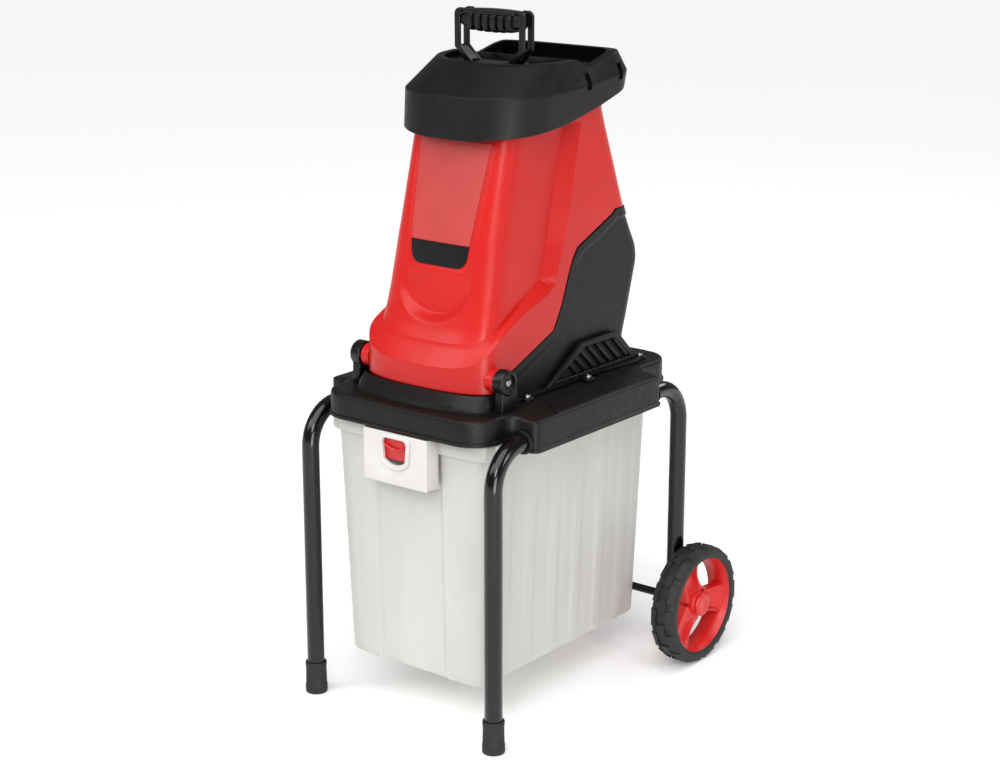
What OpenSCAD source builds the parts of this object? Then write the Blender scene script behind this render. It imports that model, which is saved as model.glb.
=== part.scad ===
// Electric garden shredder on a wheeled tube frame, with a tilting hopper and a slide-out box.
// Front is -Y, left and right are -X and +X, and the floor is at z = 0.

/* [Frame] */
// Outside diameter of the frame tubes
tube_d = 25; // [22:0.5:26]
// Wall of the frame tubes
tube_wall = 1.5; // [1:0.1:3]
// Distance between the two frame tubes, centre to centre
track = 330; // [326:1:350]
// Distance from the front legs to the axle
wheelbase = 442; // [434:1:470]
// Centre line radius of the tube bends
bend_r = 55; // [45:1:58]
// Height of the tubes' top run above the floor
run_z = 429; // [415:1:460]
// Diameter of the rubber feet at the floor
foot_d = 32; // [30:0.5:40]
// Height of the rubber feet
foot_h = 48; // [35:1:60]
// Thickness of rubber under the tube end
foot_sole = 6; // [4:0.5:10]

/* [Wheels] */
// Diameter of the wheels over the tyre
wheel_d = 180; // [170:1:200]
// Width of the tyres
tyre_w = 40; // [34:1:46]
// Diameter of the rim under the tyre
rim_d = 143; // [130:1:150]
// Wall of the rim's barrel and spokes
rim_wall = 4; // [3:0.5:5]
// Diameter of the wheel hub
hub_d = 36; // [32:1:42]
// Diameter of the axle rod
axle_d = 12; // [10:0.5:14]
// Thickness of the washers beside the wheels
washer_t = 2; // [1:0.2:2.4]

/* [Deck] */
// Height of the deck's top above the centre of the tubes' top run
deck_over_run = 35; // [33:0.5:40]
// Wall of the deck moulding
deck_wall = 3; // [2.5:0.1:4]
// Height of the deck's side walls
deck_side_h = 49; // [47:0.5:52]
// Height of the deck's front and rear walls
deck_front_h = 36; // [33:0.5:36]
// Length of the deck's side pods along the tubes
pod_len = 303; // [290:1:310]
// Width of the deck outside each tube's centre
pod_over = 23; // [20:0.5:28]
// Half width of the deck's front and rear lobes
lobe_half = 146; // [140:1:148]
// Corner radius of the lobes
lobe_r = 45; // [35:1:55]
// Half width of the opening that the chips fall through
drop_half = 55; // [40:1:58]

/* [Collection box] */
// Height of the box from its floor to its rim
box_h = 359; // [320:1:380]
// Half width of the box at its floor
box_half = 119; // [110:1:124]
// Widening of the box from floor to rim on each side
box_draft = 12; // [8:0.5:14]
// Length of the box at its floor
box_len = 381; // [360:1:385]
// Wall of the box
box_wall = 2.5; // [2:0.1:3.5]
// Height of the rim band
rim_h = 24; // [18:0.5:28]
// Amount that the rim band stands out from the box
rim_out = 8; // [5:0.5:8.5]
// Half width of the lock panel
lock_half = 57; // [50:1:62]
// Height of the lock panel
lock_h = 74; // [68:1:90]
// Half width of the lock window
window_half = 21; // [16:0.5:24]
// Travel of the lock slider
lock_travel = 12; // [6:0.5:14]

/* [Tower] */
// Wall of the red shell
shell_wall = 3; // [2:0.1:4]
// Wall of the motor housing
housing_wall = 3; // [2:0.1:4]
// Wall of the hopper top
hopper_wall = 4; // [3:0.1:5]
// Wall of the feed chute
chute_wall = 2.5; // [2:0.1:3]
// Gap along the seam between shell and housing
seam_gap = 1.2; // [0.8:0.1:2]
// Height of the hinge axis above the deck
hinge_h = 39.5; // [39:0.1:41]
// Radius of the hinge bosses
boss_r = 18; // [14:0.5:20]
// Diameter of the hinge pins
pin_d = 8; // [6:0.5:10]

/* [Cutting gear] */
// Backward tilt of the shaft below the level
shaft_tilt = 22; // [20:0.5:24]
// Diameter of the blade disc
disc_d = 164; // [140:1:168]
// Thickness of the blade disc
disc_t = 8; // [6:0.5:9]
// Diameter of the shaft
shaft_d = 12; // [10:0.5:13]
// Diameter of the motor can
motor_d = 92; // [86:1:94]
// Length of the motor can
motor_len = 120; // [114:1:122]

/* [Pusher] */
// Half width of the pusher's paddle
paddle_half = 44; // [36:1:48]
// Thickness of the pusher's paddle
paddle_t = 24; // [16:1:28]
// Length of the paddle below the hood
paddle_len = 205; // [120:1:210]
// Height of the pusher's handle above the hood's plate
handle_h = 75; // [65:1:85]
// Half width of the pusher's handle
handle_half = 61; // [54:1:66]

/* [Hidden] */
$fn = 64;

// Clearance of a shaft that turns in its bore
run_clear = 0.05;
// Clearance of a piece that sits in another
seat_clear = 0.2;
// Clearance of a piece that slides in another
slide_clear = 1;
// Amount that a cut runs past the face it opens
over = 1;

tube_r = tube_d / 2;
leg_x = track / 2;
front_y = -(wheelbase + wheel_d / 2 + foot_d / 2) / 2 + foot_d / 2;
axle_y = front_y + wheelbase;
axle_z = wheel_d / 2;
deck_z = run_z + deck_over_run;
pod_x = leg_x + pod_over;
wheel_x0 = leg_x + tube_r + washer_t + 0.5;
wheel_x1 = wheel_x0 + tyre_w;

// Lengthwise places on the deck
pod_y0 = -194;
pod_y1 = pod_y0 + pod_len;
lobe_y0 = -265;
lobe_y1 = 202;
hinge_y = -186;
disc_y = -20;
disc_h = 111;
pusher_y = -47;

// Height of the lock screw above the deck, halfway up the housing's sloping rear shoulder
knob_h = 218;
shoulder_h0 = knob_h - 15;
shoulder_h1 = knob_h + 15;
// Height of the hood plate above the deck, from which the hopper's edges and the chute's mouth are measured
hood_h = 439;
hood_t = 3.5;
panel_top = hood_h - 91;
shell_h1 = hood_h - 87;
// Above the label the tower's front leans back at one rate, from its place there
label_top = 212;
label_top_y = -168;
front_lean = 0.25;
front_h1 = panel_top + 36;

// Heights above the deck at which the red shell changes shape, each with its place along Y
shell_front = [[21, -221], [51, -219], [81, -203], [114, -183], [179, -173], [label_top, label_top_y],
    [front_h1, label_top_y + front_lean * (front_h1 - label_top)]];
shell_shoulder = [[21, -178], [81, -165], [140, -130], [shell_h1, -79]];
shell_rear = [[shoulder_h1, 128], [shell_h1 + 26, 78]];
step_line = [[40, -240], [81, -205], [127, -120], [158, -67], [202, -50], [283, -28],
    [shell_h1 + 13, -6]];
// Half widths of the tower in front of the step and of the skirt behind it
tower_half = [[21, 111], [51, 111], [81, 100], [136, 96], [236, 92], [shell_h1, 90]];
skirt_half = [[21, 111], [236, 110], [shell_h1, 106]];
// Roundness of the front, as the power of a superellipse
shell_power = [[21, 2.5], [81, 3], [136, 4], [shell_h1, 4.2]];
// Seam between shell and housing, as place along Y and height above the deck
seam = [[-190, 21], [-160, 41], [-129, 53], [-55, 83], [-36, 116], [-14, 173], [0, 192],
    [81, shoulder_h1 - 7], [91, shoulder_h1], [140, shoulder_h1]];
// Lower edge, break line and rim of the hopper top, as place along Y and height above the deck
hopper_low = [[-158, hood_h - 87], [-137, hood_h - 82], [-40, hood_h - 73], [44, hood_h - 55],
    [123, hood_h - 32], [140, hood_h - 30]];
hopper_break = [[-150, hood_h - 29], [-60, hood_h - 27], [0, hood_h - 23], [142, hood_h - 10]];
hopper_rim = [[-98, hood_h + 10], [-1, hood_h + 13], [26, hood_h - 2], [102, hood_h + 17],
    [129, hood_h + 15]];
// Rear profile of the motor housing, as height above the deck and place along Y
housing_rear = [[0, 142], [36, 133], [72, 145], [150, 168], [169, 165], [shoulder_h0, 146],
    [shoulder_h1, 131]];
housing_half = 111.5;
shell_levels = [0, 0.09, 0.18, 0.28, 0.38, 0.48, 0.6, 0.8, 1];
housing_levels = [0, 0.06, 0.2, 0.4, 0.65, 0.85, 1];
shell_lap = 12;
seam_back = 1.6;
lip_t = 3;
lip_in = hopper_wall + 0.7;
lip_front = 2.8;
// Plans of the hopper top at its lower edge, break line and rim, and of the chute from tray to throat:
// half width, front, shoulder, rear, corner, power, and height above the deck
hopper_plans = [[115, -158, -60, 135, 40, 2.6, hopper_low], [117, -150, -60, 142, 40, 2.6, hopper_break],
    [107, -98, -1, 129, 34, 2.4, hopper_rim]];
throat = [[-43, 109], [-14, 179]];
chute_plans = [[109, -90, -50, 134, 40, 3, hood_h - 19], [82, -90, -60, 64, 20, 6, hood_h - 28],
    [80, -88, -60, 62, 20, 6, hood_h - 88], [62, -95, -70, 30, 15, 6, 236],
    [48, -43, -38, -14, 6, 6, throat]];

front_steps = 9;
side_steps = 12;
corner_steps = 3;
last_station = front_steps + side_steps + corner_steps + 1;

// Points and faces of lofted shells

function mix(a, b, t) = a + (b - a) * t;
function ramp(a, b, x) = min(1, max(0, (x - a) / (b - a)));
function ease(t) = t * t * (3 - 2 * t);

// Half of a plan outline, from the front centre round to the rear centre
function plan_point(i, half, front, shoulder, rear, corner, power) =
    i <= front_steps ? let (a = 90 * i / front_steps)
        [half * pow(sin(a), 2 / power), shoulder - (shoulder - front) * pow(cos(a), 2 / power)]
    : i <= front_steps + side_steps ?
        [half, mix(shoulder, rear - corner, (i - front_steps) / side_steps)]
    : i < last_station ? let (a = 90 * (i - front_steps - side_steps) / corner_steps)
        [half - corner * (1 - cos(a)), rear - corner * (1 - sin(a))]
    : [0, rear];

function whole_ring(half) =
    concat(half, [for (i = [len(half) - 2 : -1 : 1]) [-half[i][0], half[i][1], half[i][2]]]);

function plan_ring(half, front, shoulder, rear, corner, power, heights, inset = 0) =
    whole_ring([for (i = [0 : last_station])
        let (p = plan_point(i, half - inset, front + inset, shoulder, rear - inset, corner, power),
             q = plan_point(i, half, front, shoulder, rear, corner, power))
        [p[0], p[1], is_list(heights) ? lookup(q[1], heights) : heights]]);

function band_faces(count, i, j) = [for (k = [0 : count - 1]) let (n = (k + 1) % count)
    each [[i * count + k, j * count + k, j * count + n], [i * count + k, j * count + n, i * count + n]]];

// Closed wall whose rings run up the outside and down the inside
module wall_loft(rings) {
    count = len(rings[0]);
    polyhedron([for (r = rings) each r],
        [for (i = [0 : len(rings) - 1]) each band_faces(count, i, (i + 1) % len(rings))]);
}

// Solid whose first and last rings are closed by flat caps
module capped_loft(rings) {
    count = len(rings[0]);
    top = (len(rings) - 1) * count;
    polyhedron([for (r = rings) each r], concat(
        [for (i = [0 : len(rings) - 2]) each band_faces(count, i, i + 1)],
        [[for (k = [0 : count - 1]) k], [for (k = [count - 1 : -1 : 0]) top + k]]));
}

module on_deck() {
    translate([0, 0, deck_z]) children();
}

module along_x(x0, x1, r) {
    translate([x0, 0, 0]) rotate([0, 90, 0]) cylinder(h = x1 - x0, r = r);
}

// Places its children with +Z along the shaft, backwards and down from the disc's back face
module on_shaft() {
    on_deck() translate([0, disc_y, disc_h]) rotate([-90 - shaft_tilt, 0, 0]) children();
}

module at_hinge() {
    on_deck() translate([0, hinge_y, hinge_h]) children();
}

module both_sides() {
    children();
    mirror([1, 0, 0]) children();
}

// Frame

module tube_path(r) {
    foot_z = foot_sole + seat_clear;
    translate([0, front_y, foot_z]) cylinder(h = run_z - bend_r - foot_z, r = r);
    translate([0, front_y + bend_r, run_z - bend_r]) rotate([90, 0, -90])
        rotate_extrude(angle = 90) translate([bend_r, 0]) circle(r = r);
    translate([0, front_y + bend_r, run_z]) rotate([-90, 0, 0])
        cylinder(h = wheelbase - 2 * bend_r, r = r);
    translate([0, axle_y - bend_r, run_z - bend_r]) rotate([90, 0, 90])
        rotate_extrude(angle = 90) translate([bend_r, 0]) circle(r = r);
    translate([0, axle_y, axle_z - axle_end]) cylinder(h = run_z - bend_r - axle_z + axle_end, r = r);
}

axle_end = 18;
bolt_r = 3;
bolt_places = [-130, 40];
bolt_head_t = 3;
bolt_reach = 12;

module frame_tube() {
    difference() {
        translate([leg_x, 0, 0]) tube_path(tube_r);
        translate([leg_x, 0, 0]) tube_path(tube_r - tube_wall);
        translate([leg_x, front_y, 0]) cylinder(h = foot_sole + over, r = tube_r - tube_wall);
        translate([leg_x, axle_y, axle_z - axle_end - over])
            cylinder(h = 2 * over, r = tube_r - tube_wall);
        translate([0, axle_y, axle_z]) along_x(leg_x - tube_d, leg_x + tube_d, axle_d / 2 + run_clear);
        for (y = bolt_places)
            translate([leg_x, y, run_z - tube_d]) cylinder(h = 2 * tube_d, r = bolt_r + run_clear);
    }
}

module frame_tube_left() {
    color("#161616") mirror([1, 0, 0]) frame_tube();
}

module frame_tube_right() {
    color("#161616") frame_tube();
}

module foot() {
    translate([leg_x, front_y, 0]) difference() {
        union() {
            cylinder(h = foot_h, r = foot_d / 2 - 1);
            cylinder(h = foot_sole * 2, r = foot_d / 2);
            translate([0, 0, foot_h - foot_sole]) cylinder(h = foot_sole, r = foot_d / 2 - 0.4);
        }
        translate([0, 0, foot_sole]) cylinder(h = foot_h, r = tube_r + run_clear);
    }
}

module foot_left() {
    color("#1c1c1c") mirror([1, 0, 0]) foot();
}

module foot_right() {
    color("#1c1c1c") foot();
}

cap_depth = 8;
cap_face = 3;
nut_t = 6;
nut_r = 9;

module axle() {
    color("#1a1a1a") translate([0, axle_y, axle_z])
        along_x(-(wheel_x1 - cap_depth - over), wheel_x1 - cap_depth - over, axle_d / 2);
}

module axle_washers() {
    color("silver") translate([0, axle_y, axle_z]) both_sides() difference() {
        along_x(leg_x + tube_r + seat_clear, leg_x + tube_r + washer_t, axle_d / 2 + 5);
        along_x(leg_x, wheel_x0, axle_d / 2 + run_clear);
    }
}

hub_x1 = wheel_x1 - cap_depth - nut_t - 2;

module axle_nuts() {
    color("silver") translate([0, axle_y, axle_z]) both_sides() difference() {
        translate([hub_x1 + seat_clear, 0, 0]) rotate([0, 90, 0]) cylinder(h = nut_t, r = nut_r, $fn = 6);
        along_x(hub_x1, wheel_x1, axle_d / 2 + run_clear);
    }
}

spoke_count = 3;
spoke_w = 34;
spoke_t = 14;
spoke_in = 8;

module wheel_rim() {
    translate([0, axle_y, axle_z]) difference() {
        union() {
            difference() {
                along_x(wheel_x0 + rim_in, wheel_x1 - rim_in, rim_d / 2 + rim_wall);
                along_x(wheel_x0, wheel_x1, rim_d / 2 - rim_wall);
            }
            along_x(wheel_x0, wheel_x1 - cap_depth, hub_d / 2);
            for (i = [0 : spoke_count - 1]) rotate([360 / spoke_count * i, 0, 0])
                difference() {
                    translate([wheel_x0 + spoke_in, -spoke_w / 2, 0]) cube([spoke_t, spoke_w, rim_d / 2]);
                    translate([wheel_x0 + spoke_in - over, -spoke_w / 2 + rim_wall, hub_d / 2 + rim_wall])
                        cube([spoke_t - rim_wall + over, spoke_w - 2 * rim_wall,
                            rim_d / 2 - hub_d / 2 - 3 * rim_wall]);
                }
        }
        along_x(wheel_x0 - over, wheel_x1, axle_d / 2 + run_clear);
        along_x(hub_x1, wheel_x1, nut_r + slide_clear);
    }
}

module wheel_rim_left() {
    color("#c8102e") mirror([1, 0, 0]) wheel_rim();
}

module wheel_rim_right() {
    color("#c8102e") wheel_rim();
}

tyre_edge = 6;
bead_lip = 4;
rim_in = 2;
lug_share = 0.3;
lug_count = 24;
lug_depth = 3;
lug_gap = 6;

module tyre() {
    bead = rim_d / 2 + rim_wall;
    tread = wheel_d / 2;
    translate([0, axle_y, axle_z]) difference() {
        translate([wheel_x0, 0, 0]) rotate([0, 90, 0]) rotate_extrude() polygon([
            [bead + seat_clear, 0], [tread - tyre_edge, 0], [tread, tyre_edge], [tread, tyre_w - tyre_edge],
            [tread - tyre_edge, tyre_w], [bead - bead_lip, tyre_w],
            [bead - bead_lip, tyre_w - rim_in + seat_clear],
            [bead + seat_clear, tyre_w - rim_in + seat_clear]]);
        for (i = [0 : lug_count - 1], x = [wheel_x0 - over, wheel_x1 + over - tyre_w * lug_share])
            rotate([360 / lug_count * (i + 0.5), 0, 0]) translate([x, -lug_gap / 2, tread - lug_depth])
                cube([tyre_w * lug_share, lug_gap, lug_depth * 2]);
    }
}

module tyre_left() {
    color("#202020") mirror([1, 0, 0]) tyre();
}

module tyre_right() {
    color("#202020") tyre();
}

module hub_cap() {
    translate([0, axle_y, axle_z]) difference() {
        union() {
            along_x(wheel_x1 - cap_depth + seat_clear, wheel_x1 - cap_face, hub_d / 2);
            along_x(wheel_x1 - cap_face, wheel_x1 - 1, hub_d / 2 - cap_face);
        }
        along_x(wheel_x1 - cap_depth, wheel_x1 - cap_face - 1, nut_r + slide_clear);
    }
}

module hub_cap_left() {
    color("#c8102e") mirror([1, 0, 0]) hub_cap();
}

module hub_cap_right() {
    color("#c8102e") hub_cap();
}

// Deck

module rounded_plan(half, y0, y1, r) {
    translate([-half + r, y0]) square([2 * half - 2 * r, y1 - y0]);
    translate([-half, y0 + r]) square([2 * half, y1 - y0 - 2 * r]);
    for (x = [-half + r, half - r], y = [y0 + r, y1 - r]) translate([x, y]) circle(r = r);
}

pod_r = 12;
// Step round the deck's top edge
edge_step = deck_wall / 2;

module pod_plan(inset) {
    rounded_plan(pod_x - inset, pod_y0 + inset, pod_y1 - inset, pod_r - inset);
}

module deck_plan(inset) {
    pod_plan(inset);
    rounded_plan(lobe_half - inset, lobe_y0 + inset, lobe_y1 - inset, lobe_r - inset);
}

rib_gap = 1;
rib_t = 3.5;
rail_t = 5.5;
rib_x = leg_x - tube_r - rib_gap - rib_t;
box_top = -deck_front_h - 1;
runner_t = 6;
rail_top = box_top - runner_t - 0.3;
rail_w = 8;
rail_end = 13;
rail_len = pod_len - 2 * deck_wall - rail_end;
drop_y0 = -140;
drop_y1 = 10;
saddle_places = [-165, -60, 75];
sweep_r = 40.8;
sweep_half = housing_half + 1;

module base_deck() {
    color("#262423") difference() {
        on_deck() union() {
            difference() {
                union() {
                    translate([0, 0, -deck_front_h]) linear_extrude(deck_front_h - edge_step) deck_plan(0);
                    translate([0, 0, -deck_side_h]) linear_extrude(deck_side_h - edge_step) pod_plan(0);
                    translate([0, 0, -deck_wall]) linear_extrude(deck_wall) deck_plan(edge_step);
                }
                translate([0, 0, -deck_side_h - over])
                    linear_extrude(deck_side_h - deck_wall + over) deck_plan(deck_wall);
                translate([-rib_x, pod_y0 - over, -deck_side_h - over])
                    cube([2 * rib_x, pod_len + 2 * over, deck_side_h - deck_front_h + over]);
            }
            both_sides() {
                translate([rib_x, pod_y0 + 2 * deck_wall, -deck_side_h])
                    cube([rib_t, rail_len, deck_side_h - deck_wall + 0.5]);
                translate([rib_x - rail_w, pod_y0 + 2 * deck_wall, rail_top - rail_t])
                    cube([rail_w + 0.5, rail_len, rail_t]);
                for (y = saddle_places)
                    translate([rib_x + 1, y, tube_r + seat_clear - deck_over_run])
                        cube([pod_x - rib_x - 2, rib_t,
                            deck_over_run - tube_r - deck_wall - seat_clear + 0.5]);
                for (y = bolt_places)
                    translate([leg_x, y, tube_r + seat_clear - deck_over_run])
                        cylinder(h = deck_over_run - tube_r - deck_wall, r = bolt_r * 2.5);
            }
        }
        both_sides() for (y = [pod_y0 - over, pod_y1 - deck_wall - over])
            translate([leg_x, y, run_z]) rotate([-90, 0, 0])
                cylinder(h = deck_wall + 2 * over, r = tube_r + seat_clear);
        both_sides() for (y = bolt_places)
            translate([leg_x, y, run_z]) cylinder(h = deck_over_run - deck_wall, r = bolt_r + run_clear);
        on_deck() translate([-drop_half, drop_y0, -deck_wall - over])
            cube([2 * drop_half, drop_y1 - drop_y0, deck_wall + 2 * over]);
        at_hinge() along_x(-sweep_half, sweep_half, sweep_r);
        both_sides() for (p = screw_places) on_deck() translate([p[0], p[1], -deck_wall - over])
            cylinder(h = deck_wall + 2 * over, r = screw_r + run_clear);
    }
}

module frame_bolts() {
    color("silver") both_sides() for (y = bolt_places) translate([leg_x, y, run_z]) {
        translate([0, 0, -tube_r - bolt_head_t]) cylinder(h = bolt_head_t, r = bolt_r * 2);
        translate([0, 0, -tube_r - bolt_head_t]) cylinder(h = tube_d + bolt_reach, r = bolt_r);
    }
}

plinth_h = 20.5;
plinth_open_y0 = -205;
plinth_open_l = 60;
plinth_corner = 4;
plinth_power = 2.5;
// Rings of the plinth, each as half width, front, shoulder, rear and height above the deck
plinth_rings = [[118, -246, -190, -150, seat_clear], [117, -241, -190, -150, 8],
    [113, -226, -188, -152, plinth_h]];

module shell_plinth() {
    color("#2b2927") difference() {
        on_deck() capped_loft([for (p = plinth_rings)
            plan_ring(p[0], p[1], p[2], p[3], plinth_corner, plinth_power, p[4])]);
        at_hinge() along_x(-sweep_half, sweep_half, sweep_r);
        on_deck() translate([-sweep_half, plinth_open_y0, -over])
            cube([2 * sweep_half, plinth_open_l, plinth_h + 2 * over]);
    }
}

// Collection box

box_y0 = -232;
box_floor = box_top - box_h;
box_corner = 20;
box_shoulder = 20;
box_power = 6;
// Share of the sides' widening that the box's front and rear lean out
box_lean = 0.7;

function box_ring(h, grow, inset) = let (out = box_lean * grow)
    plan_ring(box_half + grow, box_y0 - out, box_y0 + box_shoulder - out, box_y0 + box_len + out,
        box_corner, box_power, h, inset);

runner_y0 = -225;
runner_len = 360;

module collection_box() {
    brim = box_draft + rim_out;
    low = box_top - rim_h;
    color("#d6d4cf") on_deck() {
        difference() {
            capped_loft([box_ring(box_floor, 0, 0), box_ring(low, box_draft, 0), box_ring(low + 1, brim, 0),
                box_ring(box_top, brim, 0)]);
            capped_loft([box_ring(box_floor + box_wall, 0, box_wall), box_ring(low - 3, box_draft, box_wall),
                box_ring(low + 4, brim, box_wall), box_ring(box_top + over, brim, box_wall)]);
        }
        both_sides() translate([box_half + brim - 1, runner_y0, box_top - runner_t])
            cube([rib_x - box_half - brim, runner_len, runner_t]);
    }
}

panel_front = -266;
panel_back = box_y0 - box_lean * (box_draft + rim_out) - seat_clear;
panel_low = box_top - lock_h;
panel_wall = 3;
window_top = box_top - 8;
window_flat = 16;
window_drop = 21;
window_round = 8;
window_low = window_top - window_flat - window_drop;
window_ring = 4;
panel_slant = 4;

module panel_plan(inset) {
    foot = lock_half + panel_slant - inset;
    polygon([[-foot, panel_back + over], [-lock_half + inset, panel_front + inset],
        [lock_half - inset, panel_front + inset], [foot, panel_back + over]]);
}

module window_plan(grow) {
    translate([-window_half - grow, 0]) square([2 * window_half + 2 * grow, window_flat + grow]);
    intersection() {
        translate([0, window_round]) circle(r = window_half + window_round + grow);
        translate([-window_half - grow, -window_drop - grow])
            square([2 * window_half + 2 * grow, window_drop + over + grow]);
    }
}

module lock_panel() {
    color("#e9e6e2") on_deck() difference() {
        union() {
            translate([0, 0, panel_low]) linear_extrude(lock_h - 0.5) difference() {
                panel_plan(0);
                panel_plan(panel_wall);
            }
            translate([0, 0, panel_low]) linear_extrude(panel_wall) panel_plan(0);
            translate([0, panel_front + panel_wall, window_low + window_drop]) rotate([90, 0, 0])
                linear_extrude(panel_wall + 2) window_plan(window_ring);
        }
        translate([-lock_half * 2, panel_back, panel_low - over])
            cube([lock_half * 4, 20, lock_h + 2 * over]);
        translate([0, panel_front + panel_wall + over, window_low + window_drop]) rotate([90, 0, 0])
            linear_extrude(panel_wall + 4) window_plan(0);
    }
}

slider_t = 3;
slider_clear = 0.4;
slider_wing = 4;
slider_low = window_low + 6;
grip_side = 3;
grip_low = window_low + lock_travel + 8;

module lock_slider() {
    back = panel_front + panel_wall + slider_clear;
    leg_low = panel_low + panel_wall + lock_travel + over;
    color("#d3202a") on_deck() {
        translate([-window_half - slider_wing, back, slider_low])
            cube([2 * (window_half + slider_wing), slider_t, box_top - over - slider_low]);
        translate([-window_half + grip_side, panel_front - 1, grip_low])
            cube([2 * (window_half - grip_side), panel_wall + 2, 4]);
        translate([-window_half + grip_side, panel_front - 1, grip_low])
            cube([2 * (window_half - grip_side), 2, 10]);
        both_sides() translate([window_half, back, leg_low])
            cube([slider_wing, slider_t, slider_low + over - leg_low]);
    }
}

switch_y = -246;
safety_w = 30;
safety_d = 16;
safety_t = 20;
plunger_r = 3;
plunger_l = 14;
plunger_out = 7;
plunger_bore = 12;

module safety_switch() {
    color("#3a3a3a") on_deck() difference() {
        translate([-safety_w / 2, switch_y - safety_d / 2, -safety_t])
            cube([safety_w, safety_d, safety_t - deck_wall - 0.1]);
        translate([0, switch_y, -safety_t - over])
            cylinder(h = plunger_bore + over, r = plunger_r + run_clear);
    }
}

module safety_plunger() {
    color("#d8d0b0") on_deck() translate([0, switch_y, -safety_t - plunger_out])
        cylinder(h = plunger_l, r = plunger_r);
}

// Motor housing

housing_front = -170;
housing_shoulder = -140;
housing_corner = 30;
housing_power = 4;

function housing_point(i, h, inset) = plan_point(i, housing_half - inset, housing_front + inset,
    housing_shoulder, lookup(h, housing_rear) - inset, housing_corner, housing_power);

function seam_h(y) = lookup(y, seam);

function housing_top(i, n = 8) =
    n == 0 ? 100 : seam_h(housing_point(i, housing_top(i, n - 1), 0)[1] - seam_back);

function housing_ring(v, inset) = whole_ring([for (i = [0 : last_station])
    let (h = mix(seat_clear, housing_top(i) - seam_gap, v), p = housing_point(i, h, inset)) [p[0], p[1], h]]);

screw_places = [[121, -127], [127, 7], [116, 151]];
screw_r = 2.2;
screw_head_r = 4.5;
screw_head_t = 3;
screw_l = 10;
flange_t = 5;
// Right half of the flange's outline, and the opening inside it
flange_outline = [[119, -148], [118, 48], [130, 127], [107, 181]];
flange_in_half = housing_half - 4.5;
flange_in_y1 = 124;
flange_ear = 9;
box_cut = 0.3;
switch_half = 28;
switch_low = 121;
switch_high = 176;
switch_back = 174;
switch_front = 130;
inlet_half = 20;
inlet_low = 30;
inlet_high = 66;
inlet_back = 150;
inlet_front = 119;
shoulder_low = housing_rear[5];
shoulder_high = housing_rear[6];
knob_y = lookup(knob_h, housing_rear);
knob_lean = atan2(shoulder_high[0] - shoulder_low[0], shoulder_low[1] - shoulder_high[1]);

// Places its children with +Z straight out of the housing's rear shoulder, at the lock screw
module on_knob() {
    on_deck() translate([0, knob_y, knob_h]) rotate([-knob_lean, 0, 0]) children();
}

module flange_plan() {
    difference() {
        union() {
            polygon(concat(flange_outline, [for (i = [len(flange_outline) - 1 : -1 : 0])
                [-flange_outline[i][0], flange_outline[i][1]]]));
            for (p = screw_places, s = [-1, 1]) translate([s * p[0], p[1]]) circle(r = flange_ear);
        }
        translate([-flange_in_half, flange_outline[0][1] - over])
            square([2 * flange_in_half, flange_in_y1 - flange_outline[0][1] + over]);
        for (p = screw_places, s = [-1, 1]) translate([s * p[0], p[1]]) circle(r = screw_r + run_clear);
    }
}

lock_screw_r = 4;
lock_boss_r = 9;
lock_boss_l = 14;

module motor_housing() {
    color("#242221") difference() {
        union() {
            on_deck() wall_loft(concat([for (v = housing_levels) housing_ring(v, 0)],
                [for (i = [len(housing_levels) - 1 : -1 : 0])
                    housing_ring(housing_levels[i], housing_wall)]));
            on_deck() translate([0, 0, seat_clear]) linear_extrude(flange_t) flange_plan();
            on_knob() translate([0, 0, -lock_boss_l - 1]) cylinder(h = lock_boss_l, r = lock_boss_r);
        }
        on_knob() translate([0, 0, -lock_boss_l]) cylinder(h = lock_boss_l + 2 * over,
            r = lock_screw_r + seat_clear);
        at_hinge() along_x(-sweep_half, sweep_half, sweep_r);
        on_deck() translate([-switch_half - box_cut, switch_front, switch_low - box_cut])
            cube([2 * (switch_half + box_cut), switch_back - switch_front,
                switch_high - switch_low + 2 * box_cut]);
        on_deck() translate([-inlet_half - box_cut, inlet_front, inlet_low - box_cut])
            cube([2 * (inlet_half + box_cut), inlet_back - inlet_front,
                inlet_high - inlet_low + 2 * box_cut]);
    }
}

module housing_screws() {
    color("silver") on_deck() both_sides() for (p = screw_places) translate([p[0], p[1], 0]) {
        translate([0, 0, flange_t + seat_clear + 0.1]) cylinder(h = screw_head_t, r = screw_head_r);
        translate([0, 0, -screw_l]) cylinder(h = screw_l + flange_t + over, r = screw_r);
    }
}

vent_x0 = housing_half + 0.3;
vent_t = 8;
vent_low = [-79, 140];
vent_high = [2, 88];
vent_h0 = flange_t + 2 * seat_clear;
vent_h1 = 55;
vent_frame = 7;
slat_count = 6;
slat_gap = 16;
slat_rise = 60;
// The slats lie along the vent's rear edge
slat_lean = slat_rise * (vent_high[1] - vent_low[1]) / (vent_h1 - vent_h0);
slat_first = 44;
slat_last = 24;

module vent() {
    on_deck() translate([vent_x0, 0, 0]) rotate([90, 0, 90]) linear_extrude(vent_t) difference() {
        polygon([[vent_low[0], vent_h0], [vent_low[1], vent_h0], [vent_high[1], vent_h1],
            [vent_high[0], vent_h1]]);
        intersection() {
            polygon([[vent_low[0] + 2.5 * vent_frame, vent_h0 + vent_frame],
                [vent_low[1] - 2.5 * vent_frame, vent_h0 + vent_frame],
                [vent_high[1] - vent_frame, vent_h1 - vent_frame],
                [vent_high[0] + vent_frame, vent_h1 - vent_frame]]);
            union() for (i = [0 : slat_count])
                translate([mix(vent_low[0] + slat_first, vent_low[1] - slat_last, i / slat_count), 0])
                    polygon([[-slat_gap / 2, 0], [slat_gap / 2, 0], [slat_gap / 2 + slat_lean, slat_rise],
                        [-slat_gap / 2 + slat_lean, slat_rise]]);
        }
    }
}

module vent_left() {
    color("#2b2928") mirror([1, 0, 0]) vent();
}

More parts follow.
